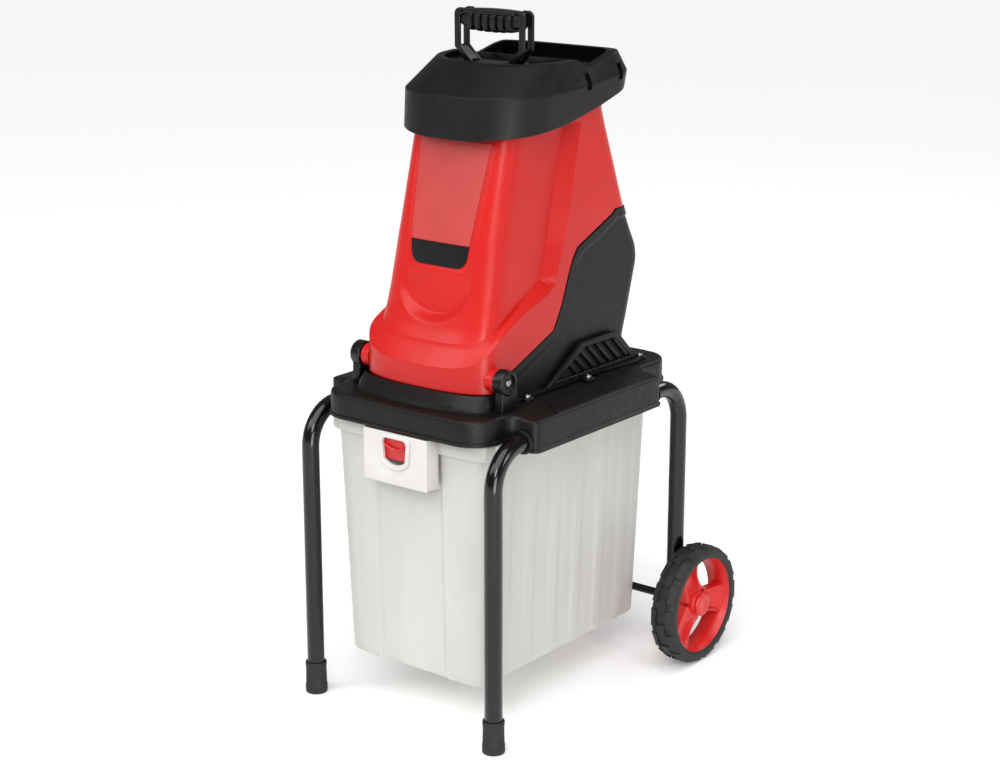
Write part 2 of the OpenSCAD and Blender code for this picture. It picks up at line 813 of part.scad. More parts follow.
module vent_right() {
    color("#2b2928") vent();
}

// Hinge

boss_x0 = 119.3;
boss_x1 = 137;
pin_head_t = 3;
pin_x0 = 104;

module hinge_bracket() {
    difference() {
        at_hinge() union() {
            along_x(boss_x0, boss_x1, boss_r);
            translate([boss_x0 + 2, -boss_r + 4, -hinge_h + seat_clear])
                cube([boss_x1 - boss_x0 - 4, 2 * boss_r - 8, hinge_h - seat_clear]);
        }
        at_hinge() along_x(boss_x1 - pin_head_t - 1, boss_x1 + over, boss_r - 6);
        at_hinge() along_x(boss_x0 - over, boss_x1, pin_d / 2 + run_clear);
    }
}

module hinge_bracket_left() {
    color("#1f1e1d") mirror([1, 0, 0]) hinge_bracket();
}

module hinge_bracket_right() {
    color("#1f1e1d") hinge_bracket();
}

module hinge_pins() {
    color("silver") at_hinge() both_sides() {
        along_x(pin_x0, boss_x1 - pin_head_t, pin_d / 2);
        along_x(boss_x1 - pin_head_t - 1 + seat_clear, boss_x1 - 1, pin_d / 2 + 4);
    }
}

// Motor and cutting gear, measured along the shaft from the disc's back face

plate_s = 14;
plate_t = 5;
motor_s = plate_s + plate_t + seat_clear;
can_wall = 3;
can_r = motor_d / 2;
shaft_r = shaft_d / 2;
bearing_ring = 10;
bearing_r = shaft_r + bearing_ring;
bearing_w = 10;
bearing_s = plate_s - 1;
rear_s = motor_s + motor_len - can_wall - bearing_w - 1;
core_s0 = 46;
core_s1 = 98;
core_r = 30.5;
winding_l = 8;
air_gap = 1;
motor_bolt_r = 2.5;
motor_bolt_ring = 36;

module ring(s0, s1, r1, r0) {
    translate([0, 0, s0]) difference() {
        cylinder(h = s1 - s0, r = r1);
        translate([0, 0, -over]) cylinder(h = s1 - s0 + 2 * over, r = r0);
    }
}

module bolt_ring() {
    for (i = [0 : 3]) rotate(45 + 90 * i) translate([motor_bolt_ring, 0, 0]) children();
}

plate_half = 104;
plate_up = 88;
plate_down = 80;
// Foot of the plate on the deck, beside the chip opening
plate_foot = [36, 16, 42];
plate_foot_x = drop_half + 6;
plate_foot_y = -48;
// Room in front of the plate that is kept clear of its feet
foot_trim = 40;
foot_trim_l = plate_up + plate_down + 60;

module chamber_plate() {
    color("#8d9196") difference() {
        union() {
            on_shaft() translate([-plate_half, -plate_up, plate_s])
                cube([2 * plate_half, plate_up + plate_down, plate_t]);
            both_sides() on_deck() translate([plate_foot_x, plate_foot_y, seat_clear]) cube(plate_foot);
        }
        on_shaft() translate([0, 0, plate_s - over])
            cylinder(h = plate_t + 2 * over, r = bearing_r + run_clear);
        on_shaft() bolt_ring() translate([0, 0, plate_s - over])
            cylinder(h = plate_t + 2 * over, r = motor_bolt_r + run_clear);
        on_shaft() translate([-plate_half - over, -plate_up, plate_s - foot_trim])
            cube([2 * plate_half + 2 * over, foot_trim_l, foot_trim]);
    }
}

module motor_can() {
    color("#6f7378") on_shaft() difference() {
        union() {
            ring(motor_s, motor_s + motor_len, can_r, can_r - can_wall);
            ring(motor_s, motor_s + can_wall, can_r, bearing_r + run_clear);
            ring(motor_s + motor_len - can_wall, motor_s + motor_len, can_r, 3);
            ring(rear_s - 1, motor_s + motor_len - can_wall + 0.5, bearing_r + 4, bearing_r + run_clear);
        }
        bolt_ring() translate([0, 0, motor_s - over])
            cylinder(h = can_wall + 2 * over, r = motor_bolt_r + run_clear);
    }
}

module motor_bolts() {
    color("silver") on_shaft() bolt_ring() {
        translate([0, 0, plate_s - 4 - seat_clear]) cylinder(h = 4, r = motor_bolt_r * 1.8);
        translate([0, 0, plate_s - 4]) cylinder(h = plate_t + can_wall + 5, r = motor_bolt_r);
    }
}

module stator_core() {
    color("#9aa0a6") on_shaft() ring(core_s0, core_s1, can_r - can_wall - run_clear, core_r);
}

module field_windings() {
    color("#b87333") on_shaft() {
        ring(core_s0 - winding_l, core_s0 - seat_clear, can_r - can_wall - 2, core_r + 1);
        ring(core_s1 + seat_clear, core_s1 + winding_l, can_r - can_wall - 2, core_r + 1);
    }
}

module armature() {
    color("#a5682a") on_shaft() ring(core_s0, core_s1, core_r - air_gap, shaft_r + run_clear / 2);
}

comm_s0 = 106;
comm_s1 = 120;
comm_r = 14;

module commutator() {
    color("#c58b4a") on_shaft() ring(comm_s0, comm_s1, comm_r, shaft_r + run_clear / 2);
}

brush_w = 8;
holder_w = 12;

module brush_holders() {
    color("#5a4632") on_shaft() both_sides() difference() {
        translate([comm_r + 5, -holder_w / 2, (comm_s0 + comm_s1 - holder_w) / 2])
            cube([can_r - can_wall - comm_r - 6, holder_w, holder_w]);
        translate([comm_r, -brush_w / 2 - seat_clear, (comm_s0 + comm_s1 - brush_w) / 2 - seat_clear])
            cube([can_r - can_wall - comm_r - 6, brush_w + 2 * seat_clear, brush_w + 2 * seat_clear]);
    }
}

module brushes() {
    color("#333333") on_shaft() both_sides()
        translate([comm_r + 0.3, -brush_w / 2, (comm_s0 + comm_s1 - brush_w) / 2])
            cube([can_r - can_wall - comm_r - 8, brush_w, brush_w]);
}

module shaft() {
    color("silver") on_shaft() translate([0, 0, -disc_t])
        cylinder(h = rear_s + bearing_w + disc_t, r = shaft_r);
}

module shaft_bearings() {
    color("#c0c4c8") on_shaft() {
        ring(bearing_s, bearing_s + bearing_w, bearing_r, shaft_r + run_clear);
        ring(rear_s, rear_s + bearing_w, bearing_r, shaft_r + run_clear);
    }
}

fan_s = 27;
fan_blades = 9;

module cooling_fan() {
    color("#4c4f52") on_shaft() {
        ring(fan_s + 6, fan_s + 8, can_r - can_wall - 4, shaft_r + run_clear / 2);
        ring(fan_s, fan_s + 6.5, shaft_r + 5, shaft_r + run_clear / 2);
        for (i = [0 : fan_blades - 1]) rotate(360 / fan_blades * i)
            translate([shaft_r + 4, -1, fan_s]) cube([can_r - can_wall - shaft_r - 10, 2, 6.5]);
    }
}

knife_t = 3;
knife_l = 58;
knife_w = 28;
knife_in = 16;
knife_screw_r = 3;

module knife_places() {
    for (i = [0, 1]) rotate(180 * i) children();
}

module blade_disc() {
    color("#7d8288") on_shaft() difference() {
        ring(-disc_t, 0, disc_d / 2, shaft_r + run_clear / 2);
        knife_places() translate([knife_in, -knife_w / 2 - 14, -disc_t - over])
            cube([knife_l, 12, disc_t + 2 * over]);
        knife_places() for (x = [0.3, 0.7]) translate([knife_in + knife_l * x, 0, -disc_t - over])
            cylinder(h = disc_t + 2 * over, r = knife_screw_r + run_clear);
    }
}

module knives() {
    color("#d5d9dc") on_shaft() knife_places() difference() {
        translate([knife_in, -knife_w / 2, -disc_t - knife_t]) cube([knife_l, knife_w, knife_t]);
        for (x = [0.3, 0.7]) translate([knife_in + knife_l * x, 0, -disc_t - knife_t - over])
            cylinder(h = knife_t + 2 * over, r = knife_screw_r + run_clear);
        translate([knife_in - over, -knife_w / 2, -disc_t - knife_t]) rotate([-30, 0, 0])
            translate([0, -6, -knife_t * 2]) cube([knife_l + 2 * over, 6, knife_t * 4]);
    }
}

module knife_screws() {
    color("#55585c") on_shaft() knife_places() for (x = [0.3, 0.7])
        translate([knife_in + knife_l * x, 0, 0]) {
            translate([0, 0, -disc_t - knife_t - 3]) cylinder(h = 3, r = knife_screw_r * 1.7);
            translate([0, 0, -disc_t - knife_t - 1]) cylinder(h = disc_t + knife_t + 1, r = knife_screw_r);
        }
}

module disc_bolt() {
    color("#c0c4c8") on_shaft() translate([0, 0, -disc_t - 6]) {
        cylinder(h = 6, r = shaft_r + 3, $fn = 6);
        translate([0, 0, 4]) cylinder(h = 2, r = shaft_r + 6);
    }
}

// Switch and inlet on the rear of the housing

button_r = 9;
reset_r = 5;
button_h = 157;
button_x = 13;
reset_h = 133;
button_depth = 12;
button_out = 4;

module button_way(x, h, r) {
    on_deck() translate([x, switch_back - button_depth, h]) rotate([-90, 0, 0])
        cylinder(h = button_depth + over, r = r);
}

module switch_box() {
    color("#2d2b2a") difference() {
        on_deck() translate([-switch_half, switch_front + 1, switch_low])
            cube([2 * switch_half, switch_back - switch_front - 1, switch_high - switch_low]);
        button_way(-button_x, button_h, button_r + 0.3);
        button_way(button_x, button_h, button_r + 0.3);
        button_way(0, reset_h, reset_r + 0.3);
    }
}

module button(x, h, r) {
    on_deck() translate([x, switch_back - button_depth + 4, h]) rotate([-90, 0, 0])
        cylinder(h = button_depth - 4 + button_out, r = r);
}

module start_button() {
    color("#2f9e44") button(-button_x, button_h, button_r);
}

module stop_button() {
    color("#c8102e") button(button_x, button_h, button_r);
}

module reset_button() {
    color("#1b1b1b") button(0, reset_h, reset_r);
}

inlet_wall = 5;
blade_places = [-8, 0, 8];

module mains_inlet() {
    color("#1e1d1c") on_deck() difference() {
        translate([-inlet_half, inlet_front + 1, inlet_low])
            cube([2 * inlet_half, inlet_back - inlet_front - 1, inlet_high - inlet_low]);
        difference() {
            translate([-inlet_half + inlet_wall, inlet_front + inlet_wall + 2, inlet_low + inlet_wall])
                cube([2 * (inlet_half - inlet_wall), inlet_back - inlet_front,
                    inlet_high - inlet_low - 2 * inlet_wall]);
            for (x = blade_places)
                translate([x - 1, inlet_front, (inlet_low + inlet_high) / 2 - 3]) cube([2, 22, 6]);
        }
    }
}

// Red tower, feed chute and hopper top, which tilt together

// Half width of the band over which the step rises, and how much softer it is low down
step_w = 10;
step_soft = [[127, 0.5], [158, 1]];

function side_half(y, h) = let (d = (y - lookup(h, step_line)) * lookup(h, step_soft))
    mix(lookup(h, tower_half), lookup(h, skirt_half), ease(ramp(-step_w, step_w, d)));

function shell_point(i, h, inset) =
    let (shoulder = lookup(h, shell_shoulder),
         p = plan_point(i, 1, lookup(h, shell_front) + inset, shoulder, lookup(h, shell_rear) - inset, 0,
             lookup(h, shell_power)),
         flat = i <= front_steps ? side_half(shoulder, h) : side_half(p[1], h),
         turn = i <= front_steps + side_steps ? 0 : 90 * (i - front_steps - side_steps) / corner_steps,
         back = lookup(h, shell_rear) - inset,
         y = i <= front_steps ? p[1]
             : i <= front_steps + side_steps
                 ? mix(shoulder, back - rear_corner, (i - front_steps) / side_steps)
             : i < last_station ? back - rear_corner * (1 - sin(turn)) : back)
    i <= front_steps ? [p[0] * (flat - inset), y]
    : i == last_station ? [0, y]
    : [side_half(y, h) - inset - rear_corner * (1 - cos(turn)), y];

rear_corner = 26;

function shell_base(i, n = 8) = n == 0 ? 100 : seam_h(shell_point(i, shell_base(i, n - 1), 0)[1]);
function shell_top(i, n = 6) =
    n == 0 ? 370 : lookup(shell_point(i, shell_top(i, n - 1), 0)[1], hopper_low) + shell_lap;

function shell_ring(v, inset, rise = 0) = whole_ring([for (i = [0 : last_station])
    let (h = mix(shell_base(i), shell_top(i), v), p = shell_point(i, h, inset)) [p[0], p[1], h + rise]]);

// Outward lip inside the hopper top, on which the hopper sits
function lip_ring(rise) = whole_ring([for (i = [0 : last_station])
    let (q = hopper_plans[0], p = plan_point(i, q[0] - lip_in, q[1] + lip_in + lip_front, q[2], q[3] - lip_in,
        q[4], q[5])) [p[0], p[1], shell_top(i) + rise]]);

lug_x0 = 104;
lug_r = 16;
tab_half = 16;
tab_t = 5;
tab_gap = 2.5;
tab_up = 30;
tab_down = 14;
tab_root = 18;
tab_root_in = 8;

module tower_shell() {
    color("#d6262b") difference() {
        union() {
            on_deck() wall_loft(concat([for (v = shell_levels) shell_ring(v, 0)],
                [lip_ring(0), lip_ring(lip_t), shell_ring(1, shell_wall, lip_t)],
                [for (i = [len(shell_levels) - 1 : -1 : 0]) shell_ring(shell_levels[i], shell_wall)]));
            at_hinge() both_sides() along_x(lug_x0, boss_x0 - 0.5, lug_r);
            on_knob() translate([-tab_half, -tab_up, tab_gap]) cube([2 * tab_half, tab_up + tab_down, tab_t]);
            on_knob() translate([-tab_half, -tab_up, -tab_root_in])
                cube([2 * tab_half, tab_up - tab_root, tab_root_in + tab_gap + tab_t]);
        }
        at_hinge() both_sides() along_x(lug_x0 - over, boss_x0, pin_d / 2 + run_clear);
        on_knob() translate([0, 0, -over]) cylinder(h = tab_gap + tab_t + 2 * over,
            r = lock_screw_r + run_clear);
    }
}

function front_y_at(x, h) = let (shoulder = lookup(h, shell_shoulder), n = lookup(h, shell_power))
    shoulder - (shoulder - lookup(h, shell_front))
        * pow(1 - pow(abs(x) / side_half(shoulder, h), n), 1 / n);

plate_cols = 8;

function front_grid(h0, h1, half0, half1, rows, stand) = [for (r = [0 : rows], c = [0 : plate_cols])
    let (h = mix(h0, h1, r / rows), x = mix(half0, half1, r / rows) * (2 * c / plate_cols - 1))
    [x, front_y_at(x, h) - stand, h]];

// Thin plate that follows the tower's front
module front_plate(h0, h1, half0, half1, rows, stand, thick) {
    n = plate_cols + 1;
    m = n * (rows + 1);
    points = concat(front_grid(h0, h1, half0, half1, rows, stand + thick),
        front_grid(h0, h1, half0, half1, rows, stand));
    polyhedron(points, concat(
        [for (r = [0 : rows - 1], c = [0 : plate_cols - 1]) let (a = r * n + c)
            each [[a, a + n, a + n + 1], [a, a + n + 1, a + 1],
                [m + a, m + a + n + 1, m + a + n], [m + a, m + a + 1, m + a + n + 1]]],
        [for (c = [0 : plate_cols - 1]) let (a = c, b = rows * n + c)
            each [[a, a + 1, m + a + 1], [a, m + a + 1, m + a],
                [b, m + b + 1, b + 1], [b, m + b, m + b + 1]]],
        [for (r = [0 : rows - 1]) let (a = r * n, b = r * n + plate_cols)
            each [[a, m + a, m + a + n], [a, m + a + n, a + n],
                [b, m + b + n, m + b], [b, b + n, m + b + n]]]));
}

label_low = 180;
badge_t = 1.5;
badge_gap = 0.8;
panel_halves = [51, 62];
label_halves = [43, 51];
badge_split = 1;
panel_rows = 6;
label_rows = 3;

module front_panel() {
    color("#c94a4c") on_deck() front_plate(label_top + badge_split / 2, panel_top, panel_halves[0],
        panel_halves[1], panel_rows, badge_gap, badge_t);
}

module label_plate() {
    color("#1b1b1b") on_deck() front_plate(label_low, label_top - badge_split / 2, label_halves[0],
        label_halves[1], label_rows, badge_gap, badge_t);
}

function planned_ring(p, inset) = plan_ring(p[0], p[1], p[2], p[3], p[4], p[5], p[6], inset);

module feed_chute() {
    last = len(chute_plans) - 1;
    color("#302e2d") on_deck() wall_loft(concat(
        [for (k = [last : -1 : 0]) planned_ring(chute_plans[k], 0)],
        [for (k = [0 : last]) planned_ring(chute_plans[k], chute_wall)]));
}

bed_l = 92;
bed_w = 16;
bed_t = 4;
bed_below = 11;
bed_s = -22;

module bed_knife() {
    color("#c9cdd1") on_shaft() translate([-bed_l / 2, bed_below, bed_s]) cube([bed_l, bed_w, bed_t]);
}

function hopper_ring(k, inset) = planned_ring(hopper_plans[k], inset);

hood_half = 105;
hood_front = -105;
hood_wall_half = 101;
hood_wall_t = 4;
hood_wall_h = 24;
rim_w = 7;
slot_half = paddle_half + slide_clear;

module hood_plan() {
    rim = hopper_plans[2];
    arc = [for (i = [0 : front_steps]) plan_point(i, hood_half, hood_front, rim[2], 0, 0, rim[5])];
    polygon(concat(arc, [for (i = [front_steps : -1 : 1]) [-arc[i][0], arc[i][1]]]));
}

module hopper_top() {
    color("#252322") on_deck() difference() {
        union() {
            wall_loft([hopper_ring(0, 0), hopper_ring(1, 0), hopper_ring(2, 0), hopper_ring(2, rim_w),
                hopper_ring(1, hopper_wall), hopper_ring(0, hopper_wall)]);
            translate([0, 0, hood_h]) linear_extrude(hood_t) hood_plan();
            translate([-hood_wall_half, hopper_plans[2][2] - hood_wall_t, hood_h - hood_wall_h / 2])
                cube([2 * hood_wall_half, hood_wall_t, hood_wall_h]);
        }
        translate([-slot_half, pusher_y - paddle_t / 2 - slide_clear, hood_h - over])
            cube([2 * slot_half, paddle_t + 2 * slide_clear, hood_t + 2 * over]);
    }
}

knob_r = 18;
knob_t = 18;
flute_count = 8;
flute_r = 6;
flute_out = 3;
screw_tip = 0.5;

module lock_knob() {
    color("#1c1b1b") on_knob() {
        translate([0, 0, tab_gap + tab_t + seat_clear]) difference() {
            cylinder(h = knob_t, r = knob_r);
            for (i = [0 : flute_count - 1]) rotate(360 / flute_count * i)
                translate([knob_r + flute_out, 0, -over]) cylinder(h = knob_t + 2 * over, r = flute_r);
        }
        translate([0, 0, screw_tip]) cylinder(h = tab_gap + tab_t + 2, r = lock_screw_r);
    }
}

module pusher_paddle() {
    color("#1f1e1d") on_deck() {
        translate([-paddle_half, pusher_y - paddle_t / 2, hood_h - paddle_len])
            cube([2 * paddle_half, paddle_t, paddle_len + hood_t + 1]);
        translate([-paddle_half - brim_out, pusher_y - paddle_t / 2 - brim_out, hood_h + hood_t + seat_clear])
            cube([2 * (paddle_half + brim_out), paddle_t + 2 * brim_out, brim_t]);
    }
}

brim_out = 5;
brim_t = 3;
handle_t = 18;
arm_w = 13;
grip_h = 32;
handle_rise = 18;
handle_corner = 10;
arm_lean = 2;
handle_z0 = hood_h + hood_t + seat_clear + brim_t;

module pusher_handle() {
    top = hood_h + hood_t + handle_h;
    bend = handle_z0 + handle_rise;
    color("#191818") on_deck() translate([0, pusher_y + handle_t / 2, 0]) rotate([90, 0, 0])
        linear_extrude(handle_t) polygon([
            [-paddle_half, handle_z0], [-paddle_half + arm_w, handle_z0],
            [-handle_half + arm_w + arm_lean, bend], [-handle_half + arm_w, top - grip_h],
            [handle_half - arm_w, top - grip_h], [handle_half - arm_w - arm_lean, bend],
            [paddle_half - arm_w, handle_z0], [paddle_half, handle_z0],
            [handle_half, bend], [handle_half, top - handle_corner], [handle_half - handle_corner, top],
            [-handle_half + handle_corner, top], [-handle_half, top - handle_corner], [-handle_half, bend]]);
}

frame_tube_left();
frame_tube_right();
foot_left();
foot_right();
axle();
axle_washers();
axle_nuts();
wheel_rim_left();
wheel_rim_right();
tyre_left();
tyre_right();
hub_cap_left();
hub_cap_right();
base_deck();
shell_plinth();
frame_bolts();
collection_box();
lock_panel();
lock_slider();
safety_switch();
safety_plunger();
motor_housing();
vent_left();
vent_right();
housing_screws();
hinge_bracket_left();
hinge_bracket_right();
hinge_pins();
chamber_plate();
motor_can();
motor_bolts();
stator_core();
field_windings();
armature();
commutator();
brush_holders();
brushes();
shaft();
shaft_bearings();
cooling_fan();
blade_disc();
knives();
knife_screws();
disc_bolt();
switch_box();
start_button();
stop_button();
reset_button();
mains_inlet();
tower_shell();
front_panel();
label_plate();
feed_chute();
bed_knife();
hopper_top();
lock_knob();
pusher_paddle();
pusher_handle();
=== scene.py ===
import math

import bmesh
import bpy
from mathutils import Matrix, Vector


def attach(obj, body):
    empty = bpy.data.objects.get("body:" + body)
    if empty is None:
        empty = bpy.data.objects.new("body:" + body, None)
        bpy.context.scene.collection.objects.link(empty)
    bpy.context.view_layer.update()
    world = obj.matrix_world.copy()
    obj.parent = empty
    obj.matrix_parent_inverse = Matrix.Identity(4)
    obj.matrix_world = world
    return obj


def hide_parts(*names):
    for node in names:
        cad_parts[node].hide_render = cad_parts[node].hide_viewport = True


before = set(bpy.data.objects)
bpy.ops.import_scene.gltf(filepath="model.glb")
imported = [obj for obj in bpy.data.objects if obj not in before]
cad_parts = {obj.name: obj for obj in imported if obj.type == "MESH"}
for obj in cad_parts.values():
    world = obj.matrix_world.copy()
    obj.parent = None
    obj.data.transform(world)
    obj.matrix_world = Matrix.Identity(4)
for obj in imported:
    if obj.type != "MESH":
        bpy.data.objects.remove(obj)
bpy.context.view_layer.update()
mm = 0.001
deckZ = 464                                # height of the deck's top, mm; heights h below are above it
print("frame loaded:", len(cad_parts), "nodes")


# small tools

def tableAt(table, x):                     # straight lines between the points of a table
    if x <= table[0][0]:
        return table[0][1]
    for (x0, y0), (x1, y1) in zip(table, table[1:]):
        if x <= x1:
            return y0 + (y1 - y0) * (x - x0) / (x1 - x0)
    return table[-1][1]


def softAt(table, x, reach):               # the same with its corners rounded over a reach
    steps = (-0.8, -0.4, 0, 0.4, 0.8)
    return sum(tableAt(table, x + reach * s) for s in steps) / len(steps)


def blendTo(a, b, x):                      # smooth step from 0 at a to 1 at b
    t = min(1, max(0, (x - a) / (b - a)))
    return t * t * (3 - 2 * t)


def spaced(points, count):                 # the same line with evenly spaced points
    gone = [0]
    for p, q in zip(points, points[1:]):
        gone.append(gone[-1] + math.dist(p, q))
    out, k = [], 0
    for i in range(count):
        want = gone[-1] * i / (count - 1)
        while k < len(gone) - 2 and gone[k + 1] < want:
            k += 1
        t = (want - gone[k]) / max(1e-9, gone[k + 1] - gone[k])
        out.append(tuple(a + (b - a) * t for a, b in zip(points[k], points[k + 1])))
    return out


def frontArc(half, front, shoulder, power, count):   # quarter of a superellipse, front centre to side
    raw = []
    for i in range(161):
        a = math.pi / 2 * i / 160
        raw.append((half * math.sin(a) ** (2 / power),
                    shoulder - (shoulder - front) * math.cos(a) ** (2 / power)))
    return spaced(raw, count)


def planHalf(half, front, shoulder, rear, corner, power, counts):   # half a plan, front to rear
    arc, side, turn, back = counts
    line = frontArc(half, front, shoulder, power, arc)
    for i in range(1, side + 1):
        line.append((half, shoulder + (rear - corner - shoulder) * i / side))
    for i in range(1, turn + 1):
        a = math.pi / 2 * i / turn
        line.append((half - corner * (1 - math.cos(a)), rear - corner * (1 - math.sin(a))))
    for i in range(1, back + 1):
        line.append(((half - corner) * (1 - i / back), rear))
    return line


def wholeRing(half):                       # mirror a half plan, centre points kept once
    return half + [(-p[0],) + tuple(p[1:]) for p in half[-2:0:-1]]


def emptyPiece(name, mesh, material):
    obj = bpy.data.objects.new(name, mesh)
    bpy.context.scene.collection.objects.link(obj)
    obj.data.materials.append(material)
    return obj


def meshPiece(name, material, points, faces):        # points in mm
    mesh = bpy.data.meshes.new(name)
    mesh.from_pydata([tuple(c * mm for c in p) for p in points], [], faces)
    bm = bmesh.new()
    bm.from_mesh(mesh)
    bmesh.ops.remove_doubles(bm, verts=bm.verts, dist=1e-6)
    bmesh.ops.recalc_face_normals(bm, faces=bm.faces)
    bm.to_mesh(mesh)
    bm.free()
    return emptyPiece(name, mesh, material)


def ringFaces(rings, count, closed=False):           # quads between rings that each go right round
    pairs = range(rings if closed else rings - 1)
    return [(i * count + k, i * count + (k + 1) % count,
             (i + 1) % rings * count + (k + 1) % count, (i + 1) % rings * count + k)
            for i in pairs for k in range(count)]


def loft(name, material, rings, caps=(False, False), closed=False):
    count = len(rings[0])
    faces = ringFaces(len(rings), count, closed)
    if caps[0]:
        faces.append(tuple(range(count)))
    if caps[1]:
        faces.append(tuple((len(rings) - 1) * count + k for k in range(count)))
    return meshPiece(name, material, [p for r in rings for p in r], faces)


def addModifier(obj, kind, **values):
    made = obj.modifiers.new(kind.title(), kind)
    for key, value in values.items():
        setattr(made, key, value)
    return made


def bake(obj, sharp=35):                   # modifiers become mesh, and creases over the angle stay sharp
    graph = bpy.context.evaluated_depsgraph_get()
    mesh = bpy.data.meshes.new_from_object(obj.evaluated_get(graph), depsgraph=graph)
    obj.modifiers.clear()
    obj.data = mesh
    mesh.shade_smooth()
    mesh.set_sharp_from_angle(angle=math.radians(sharp))
    return obj


def rounded(obj, width, segments=2, limit=32):       # eases every edge sharper than the limit
    addModifier(obj, "BEVEL", width=width * mm, segments=segments, limit_method="ANGLE",
                angle_limit=math.radians(limit), use_clamp_overlap=True, harden_normals=False)
    return bake(obj, 40)


def walled(obj, wall):                     # gives a skin its wall, inwards
    addModifier(obj, "SOLIDIFY", thickness=wall * mm, offset=-1, use_even_offset=False)
    return bake(obj)


def joined(name, pieces):                  # several meshes as one piece
    bm = bmesh.new()
    for piece in pieces:
        bm.from_mesh(piece.data)
    mesh = bpy.data.meshes.new(name)
    bm.to_mesh(mesh)
    bm.free()
    made = emptyPiece(name, mesh, pieces[0].data.materials[0])
    for piece in pieces:
        bpy.data.objects.remove(piece)
    mesh.shade_smooth()
    mesh.set_sharp_from_angle(angle=math.radians(38))
    return made


def lathe(name, material, profile, place, axis="X", steps=64):   # profile of (along, radius), mm
    rings = []
    for along, radius in profile:
        ring = []
        for k in range(steps):
            a = 2 * math.pi * k / steps
            c, s = radius * math.cos(a), radius * math.sin(a)
            p = {"X": (along, c, s), "Y": (c, along, s), "Z": (c, s, along)}[axis]
            ring.append(tuple(p[i] + place[i] for i in range(3)))
        rings.append(ring)
    return loft(name, material, rings, closed=True)


def block(name, material, low, high, bevel=0, segments=2):
    xs, ys, zs = zip(low, high)
    points = [(x, y, z) for z in zs for y in ys for x in xs]
    faces = [(0, 2, 3, 1), (4, 5, 7, 6), (0, 1, 5, 4), (2, 6, 7, 3), (0, 4, 6, 2), (1, 3, 7, 5)]
    made = meshPiece(name, material, points, faces)
    return rounded(made, bevel, segments) if bevel else made


def extruded(name, material, outline, low, high, axis, bevel=0, segments=2, holes=()):
    put = {"X": lambda u, v, w: (w, u, v), "Y": lambda u, v, w: (u, w, v),
           "Z": lambda u, v, w: (u, v, w)}[axis]
    ends = []
    bm = bmesh.new()
    for w in (low, high):
        rings, edges = [], []
        for ring in (outline, *holes):
            verts = [bm.verts.new(tuple(c * mm for c in put(u, v, w))) for u, v in ring]
            rings.append(verts)
            edges += [bm.edges.new(pair) for pair in zip(verts, verts[1:] + verts[:1])]
        bmesh.ops.triangle_fill(bm, edges=edges, use_beauty=True)
        ends.append(rings)
    for a, b in zip(*ends):
        for i in range(len(a)):
            j = (i + 1) % len(a)
            bm.faces.new((a[i], a[j], b[j], b[i]))
    bmesh.ops.dissolve_limit(bm, angle_limit=math.radians(1), verts=bm.verts, edges=bm.edges)
    bmesh.ops.recalc_face_normals(bm, faces=bm.faces)
    mesh = bpy.data.meshes.new(name)
    bm.to_mesh(mesh)
    bm.free()
    made = emptyPiece(name, mesh, material)
    return rounded(made, bevel, segments) if bevel else bake(made)


def cutAway(obj, cutters):                 # boolean cuts, then the cutters go
    for cutter in cutters:
        addModifier(obj, "BOOLEAN", operation="DIFFERENCE", object=cutter, solver="EXACT")
    bake(obj, 38)
    for cutter in cutters:
        bpy.data.objects.remove(cutter)
    return obj


def roundedCopy(name, node, material, bevel, segments=2):   # a CAD node's own shape with its edges eased
    bm = bmesh.new()
    bm.from_mesh(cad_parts[node].data)
    bmesh.ops.remove_doubles(bm, verts=bm.verts, dist=2e-6)
    bmesh.ops.dissolve_limit(bm, angle_limit=math.radians(1.5), verts=bm.verts, edges=bm.edges)
    mesh = bpy.data.meshes.new(name)
    bm.to_mesh(mesh)
    bm.free()
    made = emptyPiece(name, mesh, material)
    return rounded(made, bevel, segments)


def dress(obj, body, slotName, *nodes):    # what every finished piece gets
    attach(obj, body)
    if nodes:
        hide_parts(*nodes)
    return obj


# materials

def hexColour(code):                       # sRGB hex to linear RGBA
    parts = [int(code[i:i + 2], 16) / 255 for i in (1, 3, 5)]
    return [c / 12.92 if c <= 0.04045 else ((c + 0.055) / 1.055) ** 2.4 for c in parts] + [1]


def addNode(tree, kind, values=None, links=None, **settings):
    node = tree.nodes.new(kind)
    for key, value in settings.items():
        setattr(node, key, value)
    for key, value in (values or {}).items():
        node.inputs[key].default_value = value
    for key, source in (links or {}).items():
        tree.links.new(source, node.inputs[key])
    return node


def newMaterial(name, **sockets):
    made = bpy.data.materials.new(name)
    made.use_nodes = True
    tree = made.node_tree
    shader = tree.nodes["Principled BSDF"]
    for key, value in sockets.items():
        shader.inputs[key.replace("_", " ")].default_value = value
    where = addNode(tree, "ShaderNodeTexCoord").outputs["Object"]
    return made, tree, shader, where


def perMm(size):                           # texture scale for a feature of that many millimetres
    return 1 / (size * mm)


def noiseOn(tree, where, size, detail=3):            # cloudy pattern with spots of about that size, mm
    return addNode(tree, "ShaderNodeTexNoise", {"Scale": perMm(size), "Detail": detail},
                   {"Vector": where}).outputs["Fac"]


def colourSpan(tree, shader, source, low, high, start=0.3, end=0.7):
    ramp = addNode(tree, "ShaderNodeValToRGB", links={"Fac": source})
    for stop, place, code in zip(ramp.color_ramp.elements, (start, end), (low, high)):
        stop.position, stop.color = place, hexColour(code)
    tree.links.new(ramp.outputs["Color"], shader.inputs["Base Color"])


def roughSpan(tree, shader, source, low, high):
    span = addNode(tree, "ShaderNodeMapRange",
                   {"From Min": 0.3, "From Max": 0.7, "To Min": low, "To Max": high}, {"Value": source})
    tree.links.new(span.outputs["Result"], shader.inputs["Roughness"])


